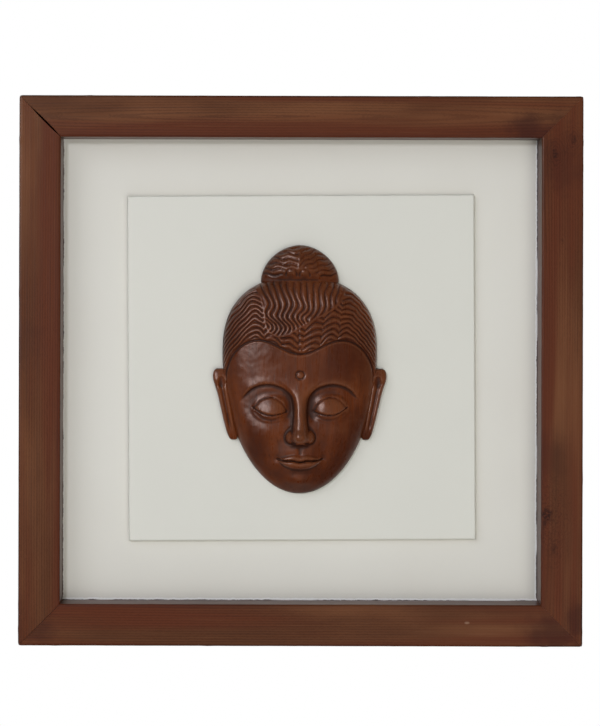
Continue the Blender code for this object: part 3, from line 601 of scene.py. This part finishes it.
def wear(points, section, seed):
    """How far each point of a rail stands out of its true place: soft waves, and nicks in the edges.

    The faces that touch the wall or the board stay flat.
    """
    inward, depth = section.T
    outside = smoothstep(RAIL_WIDTH + 0.001, RAIL_WIDTH - 0.001, inward)
    seen = smoothstep(-0.001, -0.006, depth) * outside + 0.4 * (depth < -REBATE_DEPTH - 0.002)
    edges = sum(hill(inward, depth, edge, FRONT + NICK_INSET, NICK_REACH, NICK_REACH)
                for edge in (NICK_INSET, RAIL_WIDTH - NICK_INSET))
    waves = unevenness(points, 0.00007, 0.028, seed) + unevenness(points, 0.00003, 0.006, seed)
    nicks = np.clip(unevenness(points, 1, 0.009, seed + 7) - 0.35, 0, 1) * NICK_DEPTH
    return waves * np.tile(np.minimum(seen, 1), RAIL_ROWS) - nicks * np.tile(edges, RAIL_ROWS)


def rail(name, half, place, turn, gap_start, gap_end, seed):
    """A mitred rail, worn a little. Each gap gives a mitre's opening by distance inwards."""
    section = rail_section()
    points = mitred(section, half, gap_start, gap_end)
    normals = np.tile(section_normals(section), (RAIL_ROWS, 1))
    points = points + normals * wear(points, section, seed)[:, None]
    thing = solid(name, points.tolist(), tube_faces(RAIL_ROWS, len(section)), 40)
    thing.location = place
    thing.rotation_euler.y = turn
    return thing


def tight(inward):
    """A closed mitre."""
    return np.zeros(len(inward))


def thin_crack(inward):
    """A mitre that shows as a thin line."""
    return np.full(len(inward), 0.00012)


def cracked(inward):
    """The mitre that has opened, most of all in its inner half."""
    return 0.0001 + 0.00085 * smoothstep(0.006, 0.015, inward) * smoothstep(0.031, 0.022, inward)


def cut_for_hanger(rail_top):
    """The plate's seat, the slot for the head of the wall's nail and the holes of the plate's nails."""
    low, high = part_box("hanger_plate")
    cuts = [block("plate_seat", low - Vector((ROOM, ROOM, ROOM)), high + Vector((ROOM, 0.010, ROOM))),
            block("nail_slot", SLOT_LOW, SLOT_HIGH)]
    hole = NAIL_RADIUS + ROOM
    for node in ("hanger_nail_left", "hanger_nail_right"):
        low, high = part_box(node)
        middle = (low + high) / 2
        cuts.append(block(node + "_hole", (middle.x - hole, low.y - ROOM, middle.z - hole),
                          (middle.x + hole, 0.012, middle.z + hole)))
    combine(rail_top, [], cuts, 40)


# The mask
UNIT = MASK_HEIGHT / DRAWN_HEIGHT
LIFT = MASK_DEPTH / DRAWN_DEPTH
MASK_FOOT = MIDDLE_Z - MASK_HEIGHT / 2 + MASK_RAISE


def outline_grid(across, up, upper_power, lower_power):
    """A grid over an outline with half sides of 1, closer at its edge, squarer for a higher power."""
    fine = 1
    across, up = round(across * fine), round(up * fine)
    s, t = np.meshgrid(np.linspace(-1, 1, across + 1), np.linspace(-1, 1, up + 1))
    s, t = (0.6 * even + 0.4 * np.sin(even * pi / 2) for even in (s, t))
    u, v = s * np.sqrt(1 - t**2 / 2), t * np.sqrt(1 - s**2 / 2)
    power = np.where(v > 0, upper_power, lower_power)
    size = np.hypot(u, v) + 1e-9
    stretch = (((np.abs(u) + 1e-9) / size) ** power + (np.abs(v) / size) ** power) ** (-1 / power)
    return u * stretch, v * stretch


def blurred(values, reach):
    """Mean over a square of cells round each."""
    total = np.pad(values, reach, mode="edge")
    for axis in (0, 1):
        total = np.cumsum(total, axis)
        first = np.take(total, range(0, total.shape[axis] - 2 * reach), axis)
        last = np.take(total, range(2 * reach, total.shape[axis]), axis)
        total = (last - first) / (2 * reach)
    return total


def carve(name, shape, x, z, seed, back):
    """A hand-carved shape over a straight edge and flat back. It remembers how hollow each spot is."""
    spots = np.stack([x, z, 0 * x], -1).reshape(-1, 3)
    uneven = unevenness(spots, 0.28, 9.0, seed) + unevenness(spots, 0.10, 3.2, seed)
    height = shape(x, z) + uneven.reshape(x.shape)
    # how far each spot lies below those round it, near and over a wider reach; the material paints
    # shade and grime into the hollows by it, and a highlight with wear onto the ridges
    hollow = (blurred(height, 3) - height + 0.10 * (blurred(height, 14) - height)).ravel()
    points = np.stack([MASK_SIDE + x * UNIT, MASK_BACK - height * LIFT, MASK_FOOT + z * UNIT],
                      -1).reshape(-1, 3)
    rim = grid_rim(*x.shape)
    foot = points[rim]
    foot[:, 1] = MASK_BACK + back
    count, around = len(points), len(rim)
    faces = grid_faces(*x.shape)
    for k in range(around):
        following = (k + 1) % around
        faces.append((rim[following], rim[k], count + k, count + following))
    faces.append(tuple(range(count, count + around)))
    thing = solid(name, np.vstack([points, foot]).tolist(), faces, 50)
    layer = thing.data.attributes.new("hollow", "FLOAT", "POINT")
    layer.data.foreach_set("value", np.concatenate([hollow, np.zeros(around)]).astype(np.float32))
    return thing


def carve_mask():
    """Head, topknot and ears in one. Their backs differ in depth until all are cut flat together."""
    u, v = outline_grid(230, 330, CROWN_POWER, JAW_POWER)
    x, z = u * HEAD_HALF_WIDTH, HEAD_CENTRE + v * np.where(v > 0, CROWN - HEAD_CENTRE, HEAD_CENTRE)
    whole = carve("carved_mask", head, x, z, 1.0, 0.001)
    u, v = outline_grid(100, 70, KNOT_POWER, KNOT_POWER)
    x, z = u * KNOT_HALF_WIDTH, KNOT_BASE + v * np.where(v > 0, KNOT_RISE, KNOT_DROP)
    parts = [carve("topknot", topknot, x, z, 2.0, 0.002)]
    u, v = outline_grid(28, 96, EAR_POWER, EAR_POWER)
    z = EAR_MIDDLE + v * EAR_HALF_HEIGHT
    x = ear_centre(z) + u * ear_half_width(z)
    for name, side in (("ear_left", -1), ("ear_right", 1)):
        parts.append(carve(name, ear, side * x, z, 3.0, 0.003))
    behind = block("behind", (LEFT, MASK_BACK, BOTTOM), (RIGHT, MASK_BACK + 0.02, TOP))
    combine(whole, parts, [behind], 50)
    return whole


# The board and the panel
def painted_board():
    """The backing board, slightly wavy in front wherever the rails don't hold it."""
    low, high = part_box("backing_board")
    rows = columns = 60
    x, z = np.meshgrid(np.linspace(low.x, high.x, columns), np.linspace(low.z, high.z, rows))
    near = np.stack([x, 0 * x + low.y, z], -1).reshape(-1, 3)
    off_middle = np.maximum(np.abs(near[:, 0]), np.abs(near[:, 2] - MIDDLE_Z))
    near[:, 1] += smoothstep(0.190, 0.165, off_middle) * unevenness(near, 0.00012, 0.05)
    far = near * [1, 0, 1] + [0, high.y, 0]
    rim = grid_rim(rows, columns)
    count = len(near)
    faces = grid_faces(rows, columns)
    faces += [tuple(count + k for k in face) for face in faces]
    faces += [(a, b, count + b, count + a) for a, b in zip(rim, rim[1:] + rim[:1])]
    return solid("painted_board", np.vstack([near, far]).tolist(), faces)


def raised_panel():
    """The panel, the edges of its front eased."""
    bm = bmesh.new()
    size = Matrix.Diagonal((PANEL_WIDTH, PANEL_THICKNESS, PANEL_HEIGHT, 1))
    bmesh.ops.create_cube(bm, size=1, matrix=size)
    front = [edge for edge in bm.edges if all(vertex.co.y < 0 for vertex in edge.verts)]
    bmesh.ops.bevel(bm, geom=front, offset=PANEL_RADIUS, segments=8, profile=0.5, affect="EDGES")
    bmesh.ops.recalc_face_normals(bm, faces=bm.faces)
    mesh = bpy.data.meshes.new("panel_board")
    bm.to_mesh(mesh)
    bm.free()
    smooth(mesh, 35)
    thing = put_in_scene("panel_board", mesh)
    thing.location = (PANEL_SIDE, PANEL_FRONT + PANEL_THICKNESS / 2, MIDDLE_Z + PANEL_RAISE)
    thing.rotation_euler.y = -PANEL_TURN
    return thing


# Materials, with colours as red, green and blue from 0 to 1
class Paint:
    """A material whose nodes are added one by one. Its spot is the place on the object."""

    def __init__(self, name, **values):
        self.material = bpy.data.materials.new(name)
        self.material.use_nodes = True
        self.tree = self.material.node_tree
        self.shader = self.tree.nodes["Principled BSDF"]
        self.spot = self.add("TexCoord", {}, "Object")
        for socket, value in values.items():
            self.shader.inputs[socket.replace("_", " ")].default_value = value

    def add(self, kind, inputs, output=0, **settings):
        """Adds a node, feeds its inputs and gives one of its outputs."""
        node = self.tree.nodes.new("ShaderNode" + kind)
        for name, value in settings.items():
            setattr(node, name, value)
        for socket, value in inputs.items():
            self.give(node.inputs[socket], value)
        return node.outputs[output]

    def give(self, socket, value):
        """Feeds a socket with another socket or with a plain value."""
        if isinstance(value, bpy.types.NodeSocket):
            self.tree.links.new(value, socket)
        else:
            socket.default_value = value

    def place(self, scale=(1, 1, 1), move=(0, 0, 0), turn=(0, 0, 0)):
        """The spot, scaled, turned and moved."""
        return self.add("Mapping", {"Vector": self.spot, "Scale": scale, "Location": move,
                                    "Rotation": turn})

    def axis(self, index):
        """One coordinate of the spot."""
        return self.add("SeparateXYZ", {0: self.spot}, index)

    def noise(self, vector, scale=1.0, detail=2.0, rough=0.5):
        """Soft noise from 0 to 1."""
        return self.add("TexNoise", {"Vector": vector, "Scale": scale, "Detail": detail,
                                     "Roughness": rough})

    def rings(self, vector, scale, warp, detail, detail_scale, axis):
        """Year rings round an axis, from 0 to 1, made wavy by a warp."""
        return self.add("TexWave", {"Vector": vector, "Scale": scale, "Distortion": warp,
                                    "Detail": detail, "Detail Scale": detail_scale},
                        1, wave_type="RINGS", rings_direction=axis)

    def fit(self, value, low, high, to_low=0.0, to_high=1.0):
        """Maps one range to another smoothly and stays inside it."""
        return self.add("MapRange", {0: value, 1: low, 2: high, 3: to_low, 4: to_high},
                        interpolation_type="SMOOTHSTEP")

    def math(self, operation, a, b=0.0):
        """A sum, product or other operation on one or two numbers."""
        return self.add("Math", {0: a, 1: b}, operation=operation)

    def mix(self, share, a, b):
        """From one colour to another by a share."""
        a, b = ((*colour, 1) if isinstance(colour, tuple) else colour for colour in (a, b))
        return self.add("Mix", {0: share, 6: a, 7: b}, 2, data_type="RGBA")

    def over(self, tone, share, strength, colour):
        """A tone with a colour laid over it, by a share times a strength."""
        return self.mix(self.math("MULTIPLY", share, strength), tone, colour)

    def away_from(self, x, z, squeeze):
        """Distance from a mark at (x, z). A squeeze under 1 makes the mark long in X."""
        away = self.add("VectorMath", {0: self.spot, 1: (x, 0, z)}, operation="SUBTRACT")
        away = self.add("VectorMath", {0: away, 1: (squeeze, 0, 1)}, operation="MULTIPLY")
        return self.add("VectorMath", {0: away}, "Value", operation="LENGTH")

    def ragged(self, distance, uneven, amount):
        """A distance that a noise makes uneven, by up to half an amount each way."""
        off = self.math("MULTIPLY", self.math("SUBTRACT", uneven, 0.5), amount)
        return self.math("ADD", distance, off)

    def bump(self, height, distance, strength):
        """Raises the surface by a height times a distance."""
        out = self.add("Bump", {"Height": height, "Distance": distance, "Strength": strength})
        self.give(self.shader.inputs["Normal"], out)

    def colour(self, value):
        """Gives the shader its colour."""
        self.give(self.shader.inputs["Base Color"], value)

    def rough(self, value):
        """Gives the shader its roughness."""
        self.give(self.shader.inputs["Roughness"], value)


# The pine's colours, then those of its flaws
LIGHT_BROWN = (0.176, 0.064, 0.0255)
DARK_BROWN = (0.104, 0.035, 0.0140)
RED_BROWN = (0.11648, 0.0287, 0.0112)
LATE_WOOD = (0.030, 0.009, 0.005)
PORES = (0.028, 0.009, 0.005)
PALE_FIBRE = (0.24, 0.11, 0.052)
INNER_EDGE = (0.060, 0.014, 0.008)
OUTER_EDGE = (0.035, 0.010, 0.006)
SMUDGE = (0.030, 0.008, 0.008)
KNOT_CORE = (0.022, 0.008, 0.007)
KNOT_RINGS = (0.030, 0.010, 0.007)
BARE_WOOD = (0.28, 0.16, 0.10)
RING_STEP = 0.0019        # between the rings round a knot


def smudge(p, tone, x, z, size, strength):
    """A soft dark patch."""
    far = p.ragged(p.away_from(x, z, 0.8), p.noise(p.spot, 90, 3), size * 1.2)
    return p.over(tone, p.fit(far, size, size * 0.15), strength, SMUDGE)


def knot(p, tone, x, z, size, strength):
    """A dark broken knot with rings round it."""
    far = p.ragged(p.away_from(x, z, 0.62), p.noise(p.spot, 260, 2), size * 1.3)
    broken = p.fit(p.noise(p.spot, 480, 3, 0.7), 0.36, 0.56)
    tone = p.over(tone, p.math("MULTIPLY", p.fit(far, size, size * 0.2), broken), strength, KNOT_CORE)
    swirl = p.math("MULTIPLY", p.noise(p.spot, 120, 2), 0.006)
    wave = p.math("SINE", p.math("MULTIPLY", p.math("ADD", far, swirl), 2 * pi / RING_STEP))
    rings = p.math("MULTIPLY", p.fit(wave, 0.1, 1.0), p.fit(far, size * 4.2, size * 1.3))
    return p.over(tone, rings, 0.40 * strength, KNOT_RINGS)


def speck(p, tone, x, z, size, strength):
    """A pale speck where the stain is gone."""
    return p.over(tone, p.fit(p.away_from(x, z, 0.5), size, size * 0.4), strength, BARE_WOOD)


def stained_pine(name, seed, marks):
    """Pine with its grain along X, stained brown and varnished to a satin finish."""
    p = Paint(name, Specular_IOR_Level=0.18)
    sway = p.noise(p.place(scale=(5, 14, 14), move=(seed, 0, 0)), 1, 2)
    year = p.rings(p.place(scale=(0.6, 1, 1), move=(0, 0.035, 0.012 + 0.01 * seed), turn=(0, 0, 0.05)),
                   170, 2.5, 3, 6, "X")
    fine = p.noise(p.place(scale=(9, 620, 620), move=(seed, 0, 0)), 1, 3, 0.6)
    broad = p.noise(p.place(scale=(3, 60, 60), move=(seed, 0, 0)), 1, 2)
    blotch = p.noise(p.place(scale=(7, 24, 24), move=(seed * 2, 0, 0)), 1, 3)
    outwards = p.axis(2)
    tone = p.mix(p.fit(blotch, 0.34, 0.64), LIGHT_BROWN, DARK_BROWN)
    tone = p.mix(p.fit(broad, 0.40, 0.62), tone, RED_BROWN)
    lines = p.math("MULTIPLY", p.fit(year, 0.45, 0.95), p.fit(sway, 0.36, 0.62, 0.06, 0.30))
    tone = p.mix(lines, tone, LATE_WOOD)
    tone = p.over(tone, p.fit(fine, 0.52, 0.75), 0.26, PORES)
    tone = p.over(tone, p.fit(fine, 0.46, 0.28), 0.16, PALE_FIBRE)
    tone = p.over(tone, p.fit(outwards, -RAIL_WIDTH + 0.0045, -RAIL_WIDTH + 0.0005), 0.35, INNER_EDGE)
    tone = p.over(tone, p.fit(outwards, -0.0022, 0.0), 0.5, OUTER_EDGE)
    for mark, *details in marks:
        tone = mark(p, tone, *details)
    p.colour(tone)
    p.rough(p.fit(fine, 0.3, 0.7, 0.28, 0.38))
    p.bump(p.math("ADD", fine, p.math("MULTIPLY", year, 0.4)), 0.00006, 0.7)
    return p.material


def carved_wood():
    """Dark stained hardwood, its grain upright and waxed; its cuts darkened by grime and painted shade,
    its ridges lightened by wear and a painted highlight.
    """
    p = Paint("mask_wood", Specular_IOR_Level=0.4)
    year = p.rings(p.place(scale=(1, 1, 0.16), move=(0.035, 0.09, 0), turn=(0.06, 0.04, 0)),
                   60, 3.0, 3, 5, "Z")
    fine = p.noise(p.place(scale=(520, 520, 34)), 1, 3, 0.6)
    pores = p.noise(p.place(scale=(900, 900, 120)), 1, 2)
    blotch = p.noise(p.place(scale=(26, 26, 13), move=(1.7, 0, 0)), 1, 3, 0.55)
    hollow = p.add("Attribute", {}, "Fac", attribute_name="hollow")
    tone = p.mix(p.fit(blotch, 0.36, 0.66), (0.143, 0.0325, 0.0072), (0.072, 0.0145, 0.0038))
    tone = p.over(tone, p.fit(year, 0.35, 0.95), 0.16, (0.040, 0.012, 0.007))
    tone = p.over(tone, p.fit(fine, 0.50, 0.74), 0.22, (0.030, 0.010, 0.006))
    tone = p.over(tone, p.fit(pores, 0.60, 0.72), 0.45, (0.020, 0.007, 0.004))
    # painted shade with grime in the cuts, and a painted highlight with wear on the ridges
    grime_and_shade, wear_and_highlight = p.fit(hollow, 0.06, 0.60), p.fit(hollow, -0.05, -0.4)
    tone = p.over(tone, grime_and_shade, 0.72, (0.016, 0.005, 0.003))
    tone = p.over(tone, wear_and_highlight, 0.20, (0.30, 0.12, 0.055))
    towards_topknot = p.fit(p.axis(2), MIDDLE_Z + 0.040, MIDDLE_Z + 0.085)
    tone = p.over(tone, towards_topknot, 0.38, (0.030, 0.008, 0.003))
    p.colour(tone)
    dull = p.math("MULTIPLY", p.fit(hollow, 0.05, 0.4), 0.3)
    p.rough(p.math("ADD", p.fit(fine, 0.3, 0.7, 0.25, 0.36), dull))
    p.bump(p.math("SUBTRACT", p.math("MULTIPLY", fine, 0.6), p.fit(pores, 0.58, 0.72)), 0.00005, 0.6)
    return p.material


# the bead's painted highlight, and the rails' stain with painted shade of the joint
BEAD_HIGHLIGHT = (0.95, 0.94, 0.91)
STAIN_AND_JOINT_SHADE = (0.035, 0.020, 0.020)


def painted_round(p, tone):
    """Along the rails the paint stands up in a bead, painted white as a highlight that is strong on the
    right and at the bottom, where it faces the light, and the rails' stain has run over its edge,
    painted dark also as shade of the joint.
    """
    x, z = p.axis(0), p.axis(2)
    side = RIGHT - RAIL_WIDTH
    right = p.math("SUBTRACT", side, x)
    left = p.math("ADD", side, x)
    low = p.math("SUBTRACT", z, BOTTOM + RAIL_WIDTH)
    uneven = p.noise(p.spot, 240, 3, 0.7)
    patchy = p.fit(p.noise(p.spot, 34, 2), 0.30, 0.48)
    # each side: distance from it, width of the dark line, and strength of the painted highlight
    for away, width, white in ((right, 0.0005, 0.95), (left, 0.0003, 0.3), (low, 0.0002, 0.95)):
        away = p.ragged(away, uneven, 0.0016)
        tone = p.over(tone, p.fit(away, 0.0018, 0.0011), white, BEAD_HIGHLIGHT)
        stain_and_shade = p.math("MULTIPLY", p.fit(away, width * 1.25, width * 0.75), patchy)
        tone = p.over(tone, stain_and_shade, 0.92, STAIN_AND_JOINT_SHADE)
    return tone


def cream(name, light, dark, framed=False):
    """Matt cream paint, rolled on. Where it is framed, its edges are uneven and stained, with a painted
    highlight along the bead and painted shade in the joint.
    """
    p = Paint(name, Roughness=0.62)
    tone = p.mix(p.fit(p.noise(p.spot, 9, 2), 0.3, 0.7), light, dark)
    p.colour(painted_round(p, tone) if framed else tone)
    p.bump(p.noise(p.spot, 900, 2), 0.00004, 0.5)
    return p.material


def hardboard():
    """The bare back of the board."""
    p = Paint("bare_board", Roughness=0.8)
    fibre = p.noise(p.spot, 500, 4, 0.7)
    tone = p.mix(fibre, (0.20, 0.115, 0.058), (0.34, 0.21, 0.115))
    p.colour(p.over(tone, p.noise(p.spot, 12, 2), 0.3, (0.17, 0.095, 0.05)))
    p.bump(fibre, 0.0001, 0.5)
    return p.material


def steel():
    """Plated steel, brushed along X and a little clouded."""
    p = Paint("hanger_steel", Metallic=0.75)
    brushed = p.noise(p.place(scale=(80, 900, 3000)), 1, 3, 0.6)
    p.colour(p.mix(p.noise(p.spot, 300, 2), (0.46, 0.45, 0.43), (0.33, 0.32, 0.31)))
    p.rough(p.fit(brushed, 0.3, 0.7, 0.28, 0.48))
    p.bump(brushed, 0.00002, 0.4)
    return p.material


def floor_paint():
    """Matt off-white."""
    p = Paint("floor_paint", Roughness=0.9)
    p.colour(p.mix(p.noise(p.spot, 3, 2), (0.86, 0.86, 0.85), (0.82, 0.82, 0.81)))
    return p.material


# Pieces. A mark is its kind, place along the rail and outwards, size and strength.
TOP_MARKS = ((smudge, 0.163, -0.024, 0.018, 0.55), (smudge, 0.186, -0.020, 0.014, 0.35))
RIGHT_MARKS = (
    (smudge, 0.178, -0.002, 0.016, 0.50), (smudge, -0.150, -0.016, 0.026, 0.30),
    (smudge, 0.060, -0.026, 0.020, 0.25), (knot, 0.1038, -0.0255, 0.0062, 0.85),
    (knot, 0.129, -0.0204, 0.0036, 0.5), (knot, -0.157, -0.0204, 0.0030, 0.9),
    (knot, -0.167, -0.0075, 0.0026, 0.7), (knot, -0.0943, -0.0154, 0.0010, 0.4),
)
BOTTOM_MARKS = ((smudge, -0.182, -0.009, 0.024, 0.50), (smudge, 0.188, -0.014, 0.016, 0.40),
                (speck, -0.1199, -0.0172, 0.0012, 0.7))
LEFT_MARKS = ((smudge, 0.020, -0.002, 0.020, 0.20),)

# Side, half length, middle of the outer edge, turn, the mitres at both ends, seed of the grain, marks
RAILS = (
    ("top", HALF_WIDTH, (0, 0, TOP), 0, cracked, tight, 0.3, TOP_MARKS),
    ("right", HALF_HEIGHT, (RIGHT, 0, MIDDLE_Z), pi / 2, tight, tight, 1.7, RIGHT_MARKS),
    ("bottom", HALF_WIDTH, (0, 0, BOTTOM), pi, tight, thin_crack, 2.9, BOTTOM_MARKS),
    ("left", HALF_HEIGHT, (LEFT, 0, MIDDLE_Z), -pi / 2, thin_crack, cracked, 4.1, LEFT_MARKS),
)
for side, half, place, turn, gap_start, gap_end, seed, marks in RAILS:
    name, node = "rail_" + side, "frame_" + side
    thing = rail(name, half, place, turn, gap_start, gap_end, seed)
    if node == "frame_top":
        cut_for_hanger(thing)
    thing.data.materials.append(stained_pine("stain_" + name, seed, marks))
    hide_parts(node)
    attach(thing, "root")

board = painted_board()
board.data.materials.append(cream("cream_board", (0.780, 0.758, 0.685), (0.762, 0.737, 0.664), True))
board.data.materials.append(hardboard())
PAINTED_DEPTH = BOARD_FRONT + (BOARD_BACK - BOARD_FRONT) / 4
for face in board.data.polygons:
    face.material_index = int(face.center.y > PAINTED_DEPTH)
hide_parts("backing_board")
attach(board, "root")

panel = raised_panel()
panel.data.materials.append(cream("cream_panel", (0.775, 0.762, 0.683), (0.760, 0.748, 0.672)))
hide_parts("raised_panel")
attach(panel, "root")

mask = carve_mask()
mask.data.materials.append(carved_wood())
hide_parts("mask")
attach(mask, "root")

metal = steel()
for node in ("hanger_plate", "hanger_nail_left", "hanger_nail_right"):
    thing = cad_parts[node]
    thing.data.materials.clear()
    thing.data.materials.append(metal)

# Surroundings
FLOOR_BELOW = 0.75
FLOOR_HALF = 1.5
corners = [(-FLOOR_HALF, -FLOOR_HALF, 0), (FLOOR_HALF, -FLOOR_HALF, 0),
           (FLOOR_HALF, FLOOR_HALF, 0), (-FLOOR_HALF, FLOOR_HALF, 0)]
mesh = bpy.data.meshes.new("floor")
mesh.from_pydata(corners, [], [(0, 1, 2, 3)])
floor = put_in_scene("floor", mesh)
floor.location.z = BOTTOM - FLOOR_BELOW
floor.data.materials.append(floor_paint())
floor.visible_glossy = False


# Light
def soft_light(name, place, size, watts, colour=(1, 1, 1), gloss=True, lights=True):
    """A square light aimed at the frame's middle, shown in reflections, lighting surfaces, or both."""
    data = bpy.data.lights.new(name, "AREA")
    data.shape = "SQUARE"
    data.size = size
    data.energy = watts
    data.color = colour
    thing = put_in_scene(name, data)
    thing.location = place
    backwards = Vector(place) - Vector((0, 0, MIDDLE_Z))
    thing.rotation_euler = backwards.to_track_quat("Z", "Y").to_euler()
    thing.visible_glossy = gloss
    thing.visible_diffuse = lights


ROSY = (1.12, 0.95, 0.90)
COOL = (0.95, 1.0, 1.10)
WARM = (1.02, 1.0, 0.92)
CREAMY = (1.0, 1.0, 0.98)
soft_light("near the camera", (-0.52, -2.55, MIDDLE_Z + 0.56), 0.26, 15.0, COOL, gloss=False)
soft_light("window", (-2.30, -3.10, MIDDLE_Z + 2.00), 2.4, 31, COOL)
soft_light("sheen", (-2.10, -3.15, MIDDLE_Z + 1.05), 2.0, 92, ROSY, lights=False)
soft_light("front", (0.40, -3.3, MIDDLE_Z - 0.15), 1.8, 18.4, WARM, gloss=False)
soft_light("fill", (0.95, -3.3, MIDDLE_Z - 1.00), 2.0, 25.5, CREAMY, gloss=False)
soft_light("back right", (2.3, 1.9, MIDDLE_Z + 0.9), 1.8, 48)
soft_light("back left", (-2.3, 1.9, MIDDLE_Z + 1.1), 1.8, 32)

# A white backdrop that gives little light, and still less to reflections
BACKDROP = 1.0
AMBIENT = 0.12
MIRRORED = 0.04
world = bpy.data.worlds.new("studio")
world.use_nodes = True
tree = world.node_tree
background = tree.nodes["Background"]
background.inputs["Color"].default_value = (1, 1, 1, 1)
ray = tree.nodes.new("ShaderNodeLightPath")
unseen = tree.nodes.new("ShaderNodeMix")
unseen.inputs["A"].default_value = AMBIENT
unseen.inputs["B"].default_value = MIRRORED
tree.links.new(ray.outputs["Is Glossy Ray"], unseen.inputs["Factor"])
strength = tree.nodes.new("ShaderNodeMix")
strength.inputs["B"].default_value = BACKDROP
tree.links.new(unseen.outputs["Result"], strength.inputs["A"])
tree.links.new(ray.outputs["Is Camera Ray"], strength.inputs["Factor"])
tree.links.new(strength.outputs["Result"], background.inputs["Strength"])
bpy.context.scene.world = world
bpy.context.scene.view_settings.view_transform = "Standard"
